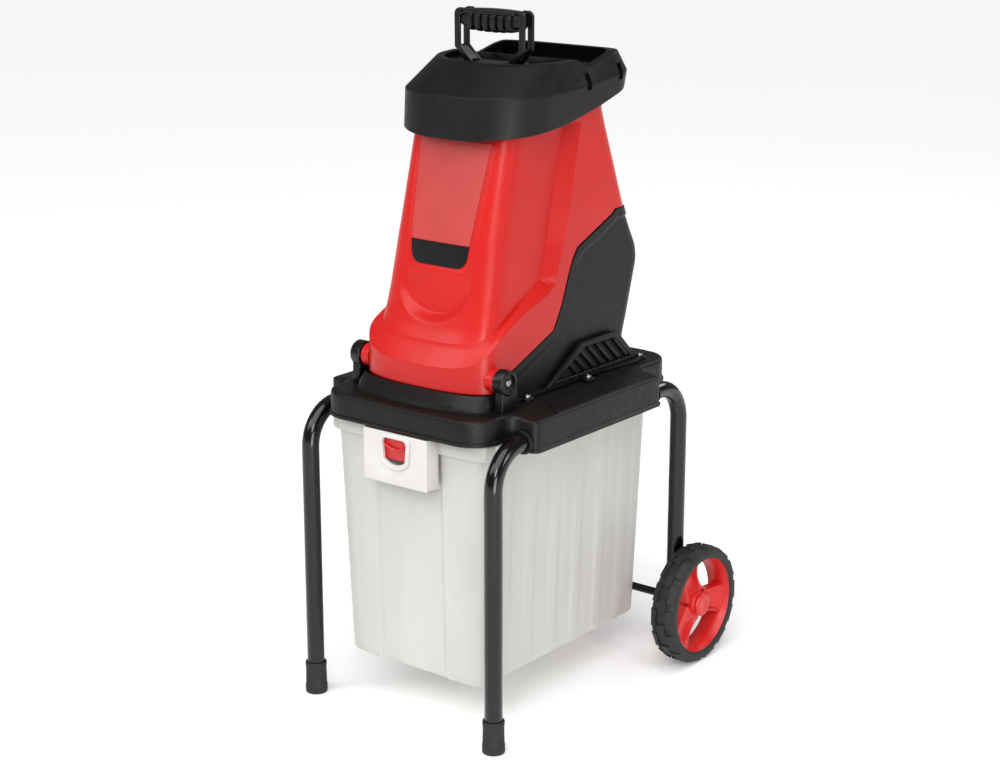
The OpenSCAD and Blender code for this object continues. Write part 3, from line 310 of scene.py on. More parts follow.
def bumpOn(tree, shader, source, depth, strength=1.0):       # depth in mm
    bump = addNode(tree, "ShaderNodeBump", {"Distance": depth * mm, "Strength": strength},
                   {"Height": source})
    tree.links.new(bump.outputs["Normal"], shader.inputs["Normal"])


def redAbs():                              # ABS, injection moulded and polished: even red, soft clear gloss
    made, tree, shader, where = newMaterial("redGlossAbs", IOR=1.53, Roughness=0.31,
                                            Specular_IOR_Level=0.26, Coat_Weight=0.04, Coat_Roughness=0.2)
    colourSpan(tree, shader, noiseOn(tree, where, 90), "#C21C18", "#CA201B")
    bumpOn(tree, shader, noiseOn(tree, where, 16, 1), 0.04, 0.25)     # faint sink marks, wide and shallow
    return made


def panelAbs():                            # ABS with a spark-eroded face: the same red, paler and matt
    made, tree, shader, where = newMaterial("redMattAbs", IOR=1.53)
    colourSpan(tree, shader, noiseOn(tree, where, 60), "#B43532", "#BC3B38")
    roughSpan(tree, shader, noiseOn(tree, where, 6), 0.44, 0.52)
    bumpOn(tree, shader, noiseOn(tree, where, 1.4, 4), 0.05, 0.5)     # spark texture, coarser than life
    return made


def rimPlastic():                            # polypropylene rim, tumbled: strong red with a worn sheen
    made, tree, shader, where = newMaterial("redPolypropylene", IOR=1.49)
    colourSpan(tree, shader, noiseOn(tree, where, 30), "#CE1B1C", "#DA2620")
    roughSpan(tree, shader, noiseOn(tree, where, 8), 0.3, 0.42)
    bumpOn(tree, shader, noiseOn(tree, where, 2, 2), 0.03, 0.4)
    return made


def blackFilled():                         # glass-filled polypropylene: charcoal, fine leather grain, satin
    made, tree, shader, where = newMaterial("blackFilledPolypropylene", IOR=1.49, Specular_IOR_Level=0.28)
    colourSpan(tree, shader, noiseOn(tree, where, 45), "#0B0908", "#110E0D")
    roughSpan(tree, shader, noiseOn(tree, where, 10), 0.4, 0.5)
    grain = addNode(tree, "ShaderNodeTexVoronoi", {"Scale": perMm(1.6)}, {"Vector": where},
                    feature="SMOOTH_F1").outputs["Distance"]
    bumpOn(tree, shader, grain, 0.06, 0.45)          # grain of 0.8 mm, drawn at 1.6 to show
    return made


def gripPlastic():                         # the same plastic, smooth: handle, knob, bosses
    made, tree, shader, where = newMaterial("blackSmoothPolypropylene", IOR=1.49, Specular_IOR_Level=0.34)
    colourSpan(tree, shader, noiseOn(tree, where, 30), "#080707", "#0D0B0B")
    roughSpan(tree, shader, noiseOn(tree, where, 9), 0.3, 0.4)
    bumpOn(tree, shader, noiseOn(tree, where, 1.5, 2), 0.02, 0.4)
    return made


def tubeEnamel():                          # stoved enamel on steel tube: deep black under a wet gloss
    made, tree, shader, where = newMaterial("blackStovedEnamel", IOR=1.52, Specular_IOR_Level=0.3,
                                            Coat_Weight=0.35, Coat_Roughness=0.04)
    colourSpan(tree, shader, noiseOn(tree, where, 120), "#030303", "#060606")
    roughSpan(tree, shader, noiseOn(tree, where, 25), 0.14, 0.2)
    bumpOn(tree, shader, noiseOn(tree, where, 4, 1), 0.03, 0.35)
    return made


def rubber(name, low, high, dust):         # moulded rubber: dull, slightly bloomed
    made, tree, shader, where = newMaterial(name, IOR=1.52)
    colourSpan(tree, shader, noiseOn(tree, where, 18, 5), low, high)
    roughSpan(tree, shader, noiseOn(tree, where, 5), dust - 0.08, dust)
    bumpOn(tree, shader, noiseOn(tree, where, 1.2, 4), 0.05, 0.5)
    return made


def boxNatural():                          # natural polypropylene: milky, light passes a little way in
    made, tree, shader, where = newMaterial("naturalPolypropylene", IOR=1.49, Subsurface_Weight=0.35,
                                            Subsurface_Scale=0.012, Transmission_Weight=0.08)
    shader.inputs["Subsurface Radius"].default_value = (1.0, 0.95, 0.85)
    flow = addNode(tree, "ShaderNodeMapping", {"Scale": (1, 1, 0.25)}, {"Vector": where}).outputs["Vector"]
    colourSpan(tree, shader, noiseOn(tree, flow, 70, 2), "#CFCDC7", "#D9D7D2")    # flow marks run upright
    roughSpan(tree, shader, noiseOn(tree, flow, 30), 0.33, 0.43)
    bumpOn(tree, shader, noiseOn(tree, where, 3, 2), 0.03, 0.4)
    return made


def whitePlastic():                        # white polypropylene: opaque, softly glossy
    made, tree, shader, where = newMaterial("whitePolypropylene", IOR=1.49, Subsurface_Weight=0.12,
                                            Subsurface_Scale=0.006)
    colourSpan(tree, shader, noiseOn(tree, where, 40), "#D3CFCC", "#DBD8D5")
    roughSpan(tree, shader, noiseOn(tree, where, 12), 0.3, 0.38)
    bumpOn(tree, shader, noiseOn(tree, where, 2, 2), 0.02, 0.4)
    return made


def labelFilm():                           # polyester film under a clear face: flat black, even gloss
    made, tree, shader, where = newMaterial("blackPolyesterFilm", IOR=1.57, Specular_IOR_Level=0.35,
                                            Coat_Weight=0.1, Coat_Roughness=0.1)
    colourSpan(tree, shader, noiseOn(tree, where, 25), "#060606", "#0A0909")
    roughSpan(tree, shader, noiseOn(tree, where, 5), 0.2, 0.27)
    return made


def metal(name, low, high, rough, grain, stretch=(1, 1, 1)):  # grain in mm, stretched along a tool's path
    made, tree, shader, where = newMaterial(name, Metallic=1.0)
    along = addNode(tree, "ShaderNodeMapping", {"Scale": stretch}, {"Vector": where}).outputs["Vector"]
    marks = noiseOn(tree, along, grain, 4)
    colourSpan(tree, shader, marks, low, high)
    roughSpan(tree, shader, marks, rough - 0.06, rough + 0.08)
    bumpOn(tree, shader, marks, 0.02, 0.4)
    return made


def copperWire():                          # enamelled copper wire: amber, rows of turns 0.8 mm wide, with painted shade in the grooves between turns
    made, tree, shader, where = newMaterial("enamelledCopper", Metallic=1.0, Coat_Weight=0.5,
                                            Coat_Roughness=0.2)
    turns = addNode(tree, "ShaderNodeTexWave",
                    {"Scale": perMm(0.8) / 6.3, "Distortion": 1.5, "Detail": 1.0},
                    {"Vector": where}, wave_type="RINGS").outputs["Fac"]
    # painted shade and highlight: colour follows the turns' bump, darker in the grooves and lighter on the
    # crests
    colourSpan(tree, shader, turns, "#7A3E1C", "#C07A3C", 0.2, 0.8)
    roughSpan(tree, shader, turns, 0.28, 0.4)
    bumpOn(tree, shader, turns, 0.2, 0.6)
    return made


def plainMoulding(name, low, high, rough):           # small pieces of one even colour
    made, tree, shader, where = newMaterial(name, IOR=1.5)
    colourSpan(tree, shader, noiseOn(tree, where, 12), low, high)
    roughSpan(tree, shader, noiseOn(tree, where, 4), rough - 0.05, rough + 0.05)
    bumpOn(tree, shader, noiseOn(tree, where, 1.2, 2), 0.02, 0.4)
    return made


finish = {
    "red": redAbs(), "panel": panelAbs(), "rim": rimPlastic(), "black": blackFilled(), "grip": gripPlastic(),
    "tube": tubeEnamel(), "foot": rubber("blackFootRubber", "#100F0E", "#181615", 0.75),
    "tyre": rubber("tyreRubber", "#12100F", "#1B1817", 0.68), "box": boxNatural(), "white": whitePlastic(),
    "label": labelFilm(),
    "zinc": metal("zincPlatedSteel", "#8E9094", "#A8AAAE", 0.34, 1.5),             # plated: soft grey shine
    "steel": metal("rolledMotorSteel", "#85898E", "#9EA2A6", 0.38, 3, (1, 0.2, 1)),    # streaks of the roll
    "tool": metal("groundToolSteel", "#B4B8BC", "#D0D3D6", 0.24, 1, (0.08, 1, 1)),     # ground: bright lines
    "sheet": metal("galvanisedSheet", "#93979B", "#AEB1B4", 0.36, 9),              # dipped: pale spangle
    "copper": copperWire(),
    "carbon": plainMoulding("brushCarbon", "#1D1C1C", "#2A2928", 0.55),            # pressed: dull, dark grey
    "green": plainMoulding("greenPolyamide", "#1F8A3A", "#2A9A45", 0.36),          # moulded: satin green
    "redButton": plainMoulding("redPolyamide", "#BE1A1E", "#CE2222", 0.34),        # moulded: satin red
    "nylon": plainMoulding("creamPolyamide", "#CFC6A6", "#DAD2B6", 0.4),           # undyed: warm cream, satin
    "shadeSheet": plainMoulding("paintedShadeBlack", "#020202", "#050505", 0.92),          # painted shade: flat black sheet behind the vent slats to darken the gaps, no shine
}
print("materials made:", len(finish))


# geometry nodes: one shape along a row of points, realised and given its material

def repeatTree(name):
    tree = bpy.data.node_groups.new(name, "GeometryNodeTree")
    tree.interface.new_socket("Geometry", in_out="OUTPUT", socket_type="NodeSocketGeometry")
    sockets = {}
    kinds = {"Shape": "Object", "Count": "Int", "Start": "Vector", "Step": "Vector", "Turn": "Vector",
             "Spin": "Vector", "Finish": "Material"}
    for label, kind in kinds.items():
        socket = tree.interface.new_socket(label, in_out="INPUT", socket_type="NodeSocket" + kind)
        sockets[label] = socket.identifier
    given = addNode(tree, "NodeGroupInput").outputs
    line = addNode(tree, "GeometryNodeMeshLine", mode="OFFSET", links={
        "Count": given["Count"], "Start Location": given["Start"], "Offset": given["Step"]})
    shape = addNode(tree, "GeometryNodeObjectInfo", {"As Instance": True}, {"Object": given["Shape"]})
    number = addNode(tree, "GeometryNodeInputIndex").outputs["Index"]
    spin = addNode(tree, "ShaderNodeVectorMath", links={0: given["Spin"], 1: number}, operation="MULTIPLY")
    turn = addNode(tree, "ShaderNodeVectorMath", links={0: given["Turn"], 1: spin.outputs["Vector"]},
                   operation="ADD")
    put = addNode(tree, "GeometryNodeInstanceOnPoints", links={
        "Points": line.outputs["Mesh"], "Instance": shape.outputs["Geometry"],
        "Rotation": turn.outputs["Vector"]})
    real = addNode(tree, "GeometryNodeRealizeInstances", links={"Geometry": put.outputs["Instances"]})
    coat = addNode(tree, "GeometryNodeSetMaterial", links={
        "Geometry": real.outputs["Geometry"], "Material": given["Finish"]})
    addNode(tree, "NodeGroupOutput", links={"Geometry": coat.outputs["Geometry"]})
    return tree, sockets


rowTree, rowSockets = repeatTree("rowOfShapes")


def rowOf(name, shape, material, count, start, step=(0, 0, 0), turn=(0, 0, 0), spin=(0, 0, 0)):
    made = emptyPiece(name, bpy.data.meshes.new(name), material)
    rows = made.modifiers.new("Rows", "NODES")
    rows.node_group = rowTree
    values = {"Shape": shape, "Count": count, "Finish": material,
              "Start": [c * mm for c in start], "Step": [c * mm for c in step],
              "Turn": [math.radians(a) for a in turn], "Spin": [math.radians(a) for a in spin]}
    for label, value in values.items():
        rows[rowSockets[label]] = value
    return bake(made, 38)


# red tower

tower = {
    "front": [[21, -205], [81, -203], [98, -195], [120, -188], [179, -175], [212, -168], [348, -134],
              [384, -125]],
    "scoop": [[81, 3], [114, 9], [150, 6], [179, 2.5], [212, 0]],   # how far the middle is drawn in
    "shoulder": [[21, -178], [81, -165], [140, -130], [352, -79]],
    "rear": [[233, 128], [378, 78]],
    "step": [[40, -240], [81, -205], [127, -120], [158, -67], [202, -50], [283, -28], [365, -6]],
    "tower": [[21, 101], [81, 100], [136, 96], [236, 92], [352, 90]],
    "skirt": [[21, 111], [236, 110], [352, 106]],
    "power": [[21, 2.5], [81, 3], [136, 4], [352, 4.2]],
    "seam": [[-190, 21], [-160, 41], [-129, 53], [-55, 83], [-36, 116], [-14, 173], [0, 192], [81, 226],
             [91, 233], [140, 233]],
    "crease": [[-205, 81], [-120, 127], [-67, 158]],                # inner edge of the step round the foot
    "drop": [[-200, 30], [-160, 22]], "bend": 158, "mitre": 11, "band": 19, "edge": 0.7,
    "skirtFront": -221, "skirtShoulder": -178, "skirtPower": 2.5, "rearCorner": 26, "lap": 12, "wall": 3,
    "counts": (56, 24, 8, 34, 10, 10),               # columns: front, side, band, flank, corner, back
    "rows": (22, 2, 7, 2, 86),                       # rows: skirt, edge, slope, edge, tower
    "scoopHalf": 58, "scoopMiddle": 156, "scoopDrop": 46, "scoopEase": 6,
    "panelHalf": [[175, 44], [212, 52], [348, 63]], "panelDeep": 1.6, "panelFoot": (175, 179.5),
    "lugIn": 104, "lugOut": 118.8, "lugR": 16, "lugBore": 4.1, "hinge": (-186, 39.5),
    "tab": (16, -30, 14, 2.5, 7.5), "tabBore": 4.4, "tabRoot": (-18, -8),
}
hopperLow = [[-158, 352], [-137, 357], [-40, 366], [44, 384], [123, 407], [140, 409]]


def scoopAt(x, h):                         # drawn-in U below the label, and the panel's shallow bed
    half, middle, deep = tower["scoopHalf"], tower["scoopMiddle"], tower["scoopDrop"]
    out = (math.hypot(x / half, max(0, middle - h) / deep) - 1) * deep
    bed = blendTo(3, -3, abs(x) - tableAt(tower["panelHalf"], h) - 4) * blendTo(*tower["panelFoot"], h)
    ease = tower["scoopEase"]
    return tableAt(tower["scoop"], h) * blendTo(ease, -ease, out) + tower["panelDeep"] * bed


def towerPlan(h, skirt):                   # half, front, shoulder, power of the tower or of the skirt
    if skirt:
        return tableAt(tower["skirt"], h), tower["skirtFront"], tower["skirtShoulder"], tower["skirtPower"]
    front = softAt(tower["front"], h, 2 if h < 84 else 6)      # the crease at the foot is tighter
    return tableAt(tower["tower"], h), front, tableAt(tower["shoulder"], h), tableAt(tower["power"], h)


def towerFrontAt(x, h):
    half, front, shoulder, power = towerPlan(h, False)
    bow = max(0.0, 1 - (abs(x) / half) ** power) ** (1 / power)
    return shoulder - (shoulder - front) * bow + scoopAt(x, h)


def towerColumns(h, skirt):                # half a ring of the tower's or the skirt's surface
    half, front, shoulder, power = towerPlan(h, skirt)
    rear, corner = tableAt(tower["rear"], h), tower["rearCorner"]
    arc, side, band, flank, turn, back = tower["counts"]
    line = frontArc(half, front, shoulder, power, arc)
    if not skirt:
        line = [(x, y + scoopAt(x, h)) for x, y in line]
    inner = max(tableAt(tower["step"], max(h, tower["bend"])), shoulder + 10)
    outer, end = inner + tower["band"], rear - corner
    line += [(half, shoulder + (inner - shoulder) * i / side) for i in range(1, side + 1)]
    line += [(half, inner + tower["band"] * i / band) for i in range(1, band + 1)]
    line += [(half, outer + (end - outer) * i / flank) for i in range(1, flank + 1)]
    for i in range(1, turn + 1):
        a = math.pi / 2 * i / turn
        line.append((half - corner * (1 - math.cos(a)), rear - corner * (1 - math.sin(a))))
    line += [((half - corner) * (1 - i / back), rear) for i in range(1, back + 1)]
    return line


towerRows = {}


def towerPoint(i, h, t):                   # t runs from the tower's surface, 0, to the skirt's, 1
    key = round(h, 1)
    if key not in towerRows:
        towerRows[key] = list(zip(towerColumns(key, False), towerColumns(key, True)))
    (x0, y0), (x1, y1) = towerRows[key][i]
    return x0 + (x1 - x0) * t, y0 + (y1 - y0) * t


def towerMarks(i, across):                 # heights at which column i changes: base, band edges, top
    base, inner, top = 60.0, 100.0, 370.0
    for _ in range(10):
        base = tableAt(tower["seam"], towerPoint(i, base, 1)[1])
        inner = tableAt(tower["crease"], towerPoint(i, inner, 0)[1])
        top = tableAt(hopperLow, towerPoint(i, top, across)[1]) + tower["lap"]
    inner = max(inner, base + 0.2 * (top - base)) if across else inner
    drop = tableAt(tower["drop"], towerPoint(i, inner, 0)[1])
    outer = max(inner - drop + tower["mitre"] * across, base + (inner - base) * 0.4)
    edge = tower["edge"]
    return [base, outer - edge, outer + edge, inner - edge, inner + edge, top]


def arcLine(cx, cy, r, a0, a1, steps):     # points of an arc, degrees
    return [(cx + r * math.cos(math.radians(a0 + (a1 - a0) * i / steps)),
             cy + r * math.sin(math.radians(a0 + (a1 - a0) * i / steps))) for i in range(steps + 1)]


knob = {"y": 138.5, "h": 218, "lean": 63.43}
knobFrame = (Matrix.Translation((0, knob["y"] * mm, (knob["h"] + deckZ) * mm))
             @ Matrix.Rotation(-math.radians(knob["lean"]), 4, "X"))      # square to the shell there


def makeTower():
    arc, side, band = tower["counts"][:3]
    columns, rings = [], []
    for i in range(sum(tower["counts"])):
        across = min(1, max(0, (i + 1 - arc - side) / band))     # 0 before the upright band, 1 behind it
        marks = towerMarks(i, across)
        column = []
        for k, count in enumerate(tower["rows"]):
            column += [marks[k] + (marks[k + 1] - marks[k]) * v / count for v in range(count)]
        columns.append((column + [marks[-1]], marks, across))
    for v in range(len(columns[0][0])):
        half = []
        for i, (column, marks, across) in enumerate(columns):
            outer, inner = (marks[1] + marks[2]) / 2, (marks[3] + marks[4]) / 2
            down = min(1, max(0, (inner - column[v]) / (inner - outer)))
            half.append((*towerPoint(i, column[v], max(across, down)), column[v] + deckZ))
        rings.append(wholeRing(half))
    pieces = [walled(loft("towerWall", finish["red"], rings), tower["wall"])]
    y, h = tower["hinge"]
    a, b, r, bore = tower["lugIn"], tower["lugOut"], tower["lugR"], tower["lugBore"]
    for side in (-1, 1):
        profile = [(a, bore), (b - 0.1, bore), (b, 5), (b, r - 2), (b - 2, r), (a, r)]
        profile = [(side * along, radius) for along, radius in profile]
        pieces.append(lathe("lug", finish["red"], profile, (0, y, h + deckZ), steps=48))
    half, low, high, under, over = tower["tab"]
    inner, deep = tower["tabRoot"]
    tab = extruded("lockTab", finish["red"], [(-half, low), (half, low), (half, high), (-half, high)],
                   under, over, "Z", 1.2, 2, [arcLine(0, 0, tower["tabBore"], 0, 345, 23)])
    root = block("tabRoot", finish["red"], (-half, low, deep), (half, inner, over), 1.2)
    for piece in (tab, root):
        piece.data.transform(knobFrame)
    dress(joined("towerShell", [*pieces, tab, root]), "hopper", "red_plastic", "tower_shell")


def frontSheet(name, material, low, high, halves, stand, thick, corner, rows=36, cols=44):
    points, faces = [], []
    for side in (stand + thick, stand):
        for r in range(rows + 1):
            h = low + (high - low) * r / rows
            half = halves[0] + (halves[1] - halves[0]) * r / rows
            if corner and h - low < corner:                  # round the lower corners
                half -= corner - math.sqrt(max(0.0, corner ** 2 - (corner - h + low) ** 2))
            for c in range(cols + 1):
                x = half * (2 * c / cols - 1)
                points.append((x, towerFrontAt(x, h) - side, h + deckZ))
    n, m = cols + 1, (cols + 1) * (rows + 1)
    for r in range(rows):
        for c in range(cols):
            a = r * n + c
            faces += [(a, a + 1, a + n + 1, a + n), (m + a, m + a + n, m + a + n + 1, m + a + 1)]
    rim = [*range(cols), *(r * n + cols for r in range(rows))]
    rim += [*(rows * n + c for c in range(cols, 0, -1)), *(r * n for r in range(rows, 0, -1))]
    faces += [(a, m + a, m + b, b) for a, b in zip(rim, rim[1:] + rim[:1])]
    return bake(meshPiece(name, material, points, faces), 40)


badge = {"stand": -0.4, "thick": 1.5, "low": 180, "split": 212, "high": 348, "joint": 0.5,
         "panelHalf": (51, 62), "labelHalf": (47, 51), "labelCorner": 15}


def makeBadge():
    seat, gap = (badge["stand"], badge["thick"]), badge["joint"]
    panel = frontSheet("frontPanel", finish["panel"], badge["split"] + gap, badge["high"],
                       badge["panelHalf"], *seat, 0)
    dress(panel, "hopper", "panel_plastic", "front_panel")
    label = frontSheet("labelPlate", finish["label"], badge["low"], badge["split"] - gap,
                       badge["labelHalf"], *seat, badge["labelCorner"])
    dress(label, "hopper", "label_plastic", "label_plate")


makeTower()
makeBadge()
print("tower made")


# motor housing

housing = {
    "rear": [[0, 142], [36, 133], [72, 145], [150, 168], [169, 165], [203, 146], [233, 131]],
    "half": 111.5, "front": -170, "shoulder": -140, "corner": 30, "power": 4,
    "wall": 3, "gap": 1.2, "back": 1.6,
    "counts": (30, 70, 12, 12), "rows": (40, 5, 10), "border": 14, "recess": 2.4, "ease": 1.6, "low": 0.2,
    "recessFrom": (-150, -140), "turnY": 100,
    "switch": ((-28.2, 130, deckZ + 120.8), (28.2, 180, deckZ + 176.2)),
}


def housingHalfAt(h):
    return planHalf(housing["half"], housing["front"], housing["shoulder"], softAt(housing["rear"], h, 7),
                    housing["corner"], housing["power"], housing["counts"])


def seamDistance(y, h):                    # how far a point of the side lies from the seam
    best = 1e9
    for (y0, h0), (y1, h1) in zip(tower["seam"], tower["seam"][1:]):
        t = ((y - y0) * (y1 - y0) + (h - h0) * (h1 - h0)) / ((y1 - y0) ** 2 + (h1 - h0) ** 2)
        t = min(1, max(0, t))
        best = min(best, math.hypot(y - y0 - t * (y1 - y0), h - h0 - t * (h1 - h0)))
    return best


def makeHousing():
    rows = {}

    def rowAt(h):
        key = round(h, 1)
        if key not in rows:
            rows[key] = housingHalfAt(key)
        return rows[key]

    count = sum(housing["counts"])
    top = [100.0] * count
    for _ in range(8):
        top = [tableAt(tower["seam"], rowAt(t)[i][1] - housing["back"]) for i, t in enumerate(top)]
    rings, columns = [], []
    ease, low = housing["ease"], housing["low"]
    for i in range(count):                                   # rows gather along the border's inner edge
        high = top[i] - housing["gap"]
        edge = high
        while edge > low and seamDistance(rowAt(edge)[i][1], edge) < housing["border"]:
            edge -= 0.4
        edge = max(low, edge)
        marks = [low, max(low, edge - ease), min(high, edge + ease), high]
        column = []
        for k, steps in enumerate(housing["rows"]):
            column += [marks[k] + (marks[k + 1] - marks[k]) * v / steps for v in range(steps)]
        columns.append((column + [high], edge))
    for v in range(len(columns[0][0])):
        half = []
        for i, (column, edge) in enumerate(columns):
            h = column[v]
            x, y = rowAt(h)[i]
            deep = housing["recess"] * blendTo(edge + ease, edge - ease, h)
            deep *= blendTo(*housing["recessFrom"], y)
            past = max(0, y - housing["turnY"])
            lean = math.hypot(x, past) or 1
            half.append((x - deep * x / lean, y - deep * past / lean, h + deckZ))
        rings.append(wholeRing(half))
    wall = walled(loft("housingWall", finish["black"], rings), housing["wall"])
    return cutAway(wall, [block("switchCut", finish["black"], *housing["switch"])])    # buttons move in there


flange = {"outline": [(119, -148), (118, 48), (130, 127), (107, 181)], "hole": (107, -147, 124),
          "low": 0.2, "high": 5.2, "screws": [(121, -127), (127, 7), (116, 151)], "ear": 9, "bore": 2.3}


def makeFlange():
    right, low, high = flange["outline"], flange["low"], flange["high"]
    half, front, rear = flange["hole"]
    outline = right + [(-x, y) for x, y in reversed(right)]
    inner = [(-half, front), (half, front), (half, rear), (-half, rear)]
    plate = extruded("flange", finish["black"], outline, deckZ + low, deckZ + high, "Z", 1.2, 2, [inner])
    profile = [(low, flange["bore"]), (high, flange["bore"]), (high, flange["ear"] - 1.5),
               (high - 1.5, flange["ear"]), (low, flange["ear"])]
    ears = [lathe("ear", finish["black"], profile, (side * x, y, deckZ), "Z", 32)
            for x, y in flange["screws"] for side in (-1, 1)]
    return [plate, *ears]


def makeLockBoss():                        # seat of the lock screw at the rear
    profile = [(-1.2, 4.3), (0.4, 4.3), (0.4, 10), (-1.2, 12)]
    boss = lathe("lockBoss", finish["black"], profile, (0, 0, 0), "Z", 32)
    boss.data.transform(knobFrame)
    return boss


lockBoss = makeLockBoss()
dress(joined("motorHousing", [makeHousing(), *makeFlange(), lockBoss]), "chassis", "black_plastic",
      "motor_housing")

vent = {"inX": 111.8, "outX": 119.8, "low": (-79, 140), "high": (2, 88), "foot": 5.4, "top": 55, "frame": 8,
        "slats": 7, "slatThick": 6, "slatDeep": 5.5, "slatHalf": 24, "slatSet": 0.8, "slatEnds": (52, 42),
        "shadeSheet": 1.2}


def makeVent(name, side, node):
    (y0, y1), (y2, y3) = vent["low"], vent["high"]
    h0, h1, f = vent["foot"] + deckZ, vent["top"] + deckZ, vent["frame"]
    outline = [(y0, h0), (y1, h0), (y3, h1), (y2, h1)]
    hole = [(y0 + 2.6 * f, h0 + f * 0.7), (y1 - 2.2 * f, h0 + f * 0.7), (y3 - f * 0.8, h1 - f),
            (y2 + f * 0.9, h1 - f)]
    xs = sorted((side * vent["inX"], side * vent["outX"]))
    rim = extruded("ventFrame", finish["black"], outline, xs[0], xs[1], "X", 1.6, 3, [hole])
    # a thin flat black sheet behind the slats, painted shade that darkens the gaps between them
    backX = sorted((side * vent["inX"], side * (vent["inX"] + vent["shadeSheet"])))
    shadeSheet = extruded("ventFoam" + name[4:], finish["shadeSheet"], hole, backX[0], backX[1], "X")
    dress(shadeSheet, "chassis", "black_plastic", node)
    lean = math.atan2(y1 - y3, h1 - h0)                # slats lie along the frame's rear edge
    deep, thick, long = vent["slatDeep"] / 2, vent["slatThick"] / 2, vent["slatHalf"]
    slat = block("slatShape", finish["black"], (-deep, -thick, -long), (deep, thick, long), 0.9)
    first, last = y0 + vent["slatEnds"][0], y1 - vent["slatEnds"][1]
    row = rowOf("ventSlats", slat, finish["black"], vent["slats"],
                (side * (vent["outX"] - deep - vent["slatSet"]), first, (h0 + h1) / 2),
                (0, (last - first) / (vent["slats"] - 1), 0), (math.degrees(lean), 0, 0))
    bpy.data.objects.remove(slat)
    bm = bmesh.new()
    bm.from_mesh(row.data)                             # trim the slats to the frame
    middleOf = (sum(p[0] for p in outline) / 4 * mm, sum(p[1] for p in outline) / 4 * mm)
    inset = [(y0 + f, h0 + f * 0.4), (y1 - f, h0 + f * 0.4), (y3 - f * 0.4, h1 - f * 0.5),
             (y2 + f * 0.4, h1 - f * 0.5)]
    for (ya, ha), (yb, hb) in zip(inset, inset[1:] + inset[:1]):
        n = Vector((0, (hb - ha) * mm, -(yb - ya) * mm)).normalized()
        if n.dot(Vector((0, middleOf[0] - ya * mm, middleOf[1] - ha * mm))) > 0:
            n = -n
        cut = bmesh.ops.bisect_plane(bm, geom=bm.verts[:] + bm.edges[:] + bm.faces[:],
                                     plane_co=(0, ya * mm, ha * mm), plane_no=n, clear_outer=True)
        bmesh.ops.holes_fill(bm, edges=[e for e in cut["geom_cut"] if isinstance(e, bmesh.types.BMEdge)])
    bm.to_mesh(row.data)
    bm.free()
    dress(joined(name, [rim, row]), "chassis", "black_plastic", node)


makeVent("ventLeft", -1, "vent_left")
makeVent("ventRight", 1, "vent_right")
print("motor housing made")


# hopper top

hopper = {                                 # plans: half, front, shoulder, rear, corner, power
    "low": (115, -158, -60, 135, 48, 2.6), "lowH": hopperLow,
    "break": (117, -150, -60, 142, 54, 2.6), "breakH": [[-150, 410], [-60, 412], [0, 416], [142, 429]],
    "rim": (107, -98, -1, 129, 50, 2.4),
    "rimH": [[-98, 449], [-1, 452], [26, 437], [102, 456], [129, 454]],
    "rimW": 11, "wall": 4, "ease": 4, "counts": (60, 50, 14, 16),
    "hood": (439, 442.5), "hoodHalf": 105, "hoodFront": -105, "hoodPower": 2.4,
    "hoodWall": (101, -5, -1, 12), "slot": (45, 13), "pusherY": -47,
    "clips": ((17, 111.5, 108), (92, 110.5, 104)), "clipCut": (112, 6, 5.5, -8, 15),
    "clipSteps": ((-13, 5), (2, 17)), "clipBack": (3, 8),
}


def planRing(plan, heights, counts, inset=0, ease=0):          # a plan with its height taken from a table
    half, front, shoulder, rear, corner, power = plan
    outer = planHalf(*plan, counts)
    line = planHalf(half - inset, front + inset, shoulder, rear - inset, corner, power, counts)
    return wholeRing([(x, y, softAt(heights, q[1], ease) + deckZ) for (x, y), q in zip(line, outer)])


def hopperRing(key, inset=0):
    return planRing(hopper[key], hopper[key + "H"], hopper["counts"], inset, hopper["ease"])


def between(a, b, t):
    return [tuple(p + (q - p) * t for p, q in zip(u, v)) for u, v in zip(a, b)]


def makeHopper():
    low, mid, rim = hopperRing("low"), hopperRing("break"), hopperRing("rim")
    rimIn = hopperRing("rim", hopper["rimW"])
    midIn, lowIn = hopperRing("break", hopper["wall"]), hopperRing("low", hopper["wall"])
    rings = [low]
    rings += [between(low, mid, t) for t in (0.04, 0.3, 0.6, 0.92)]
    rings += [between(mid, rim, t) for t in (0, 0.1, 0.35, 0.65, 0.93)]
    rings += [rim, between(rim, rimIn, 0.5), rimIn, between(rimIn, midIn, 0.08), midIn, lowIn]
    shell = loft("hopperShell", finish["black"], rings, closed=True)
    addModifier(shell, "BEVEL", width=1.6 * mm, segments=3, limit_method="ANGLE",
                angle_limit=math.radians(38))
    bake(shell, 45)
    clips, backs = [], []
    at, thick, long, down, up = hopper["clipCut"]
    backX, backY = hopper["clipBack"]
    for y, lowX, highX in hopper["clips"]:
        z = deckZ + tableAt(hopper["breakH"], y)
        for side in (-1, 1):
            clips.append(block("clip", finish["black"], (side * at - thick, y - long, z + down),
                               (side * at + thick, y + long, z + up)))
            for x, (z0, z1) in zip((lowX, highX), hopper["clipSteps"]):     # floor of the slot, in two steps
                middle = side * (x - backX)
                backs.append(block("clipBack", finish["black"], (middle - backX, y - backY, z + z0),
                                   (middle + backX, y + backY, z + z1), 0.4))
    cutAway(shell, clips)
    z0, z1 = (deckZ + h for h in hopper["hood"])
    half, front, rear, tall = hopper["hoodWall"]
    arc = frontArc(hopper["hoodHalf"], hopper["hoodFront"], rear, hopper["hoodPower"], 40)
    outline = [(-x, y) for x, y in reversed(arc[1:])] + arc
    hx, hy = hopper["slot"]
    y = hopper["pusherY"]
    slot = [(-hx, y - hy), (hx, y - hy), (hx, y + hy), (-hx, y + hy)]
    plate = extruded("hoodPlate", finish["black"], outline, z0, z1, "Z", 0.8, 2, [slot])
    wall = block("hoodWall", finish["black"], (-half, front, z0 - tall), (half, rear, z0 + tall), 1.2)
    dress(joined("hopperTop", [shell, plate, wall, *backs]), "hopper", "black_plastic", "hopper_top")


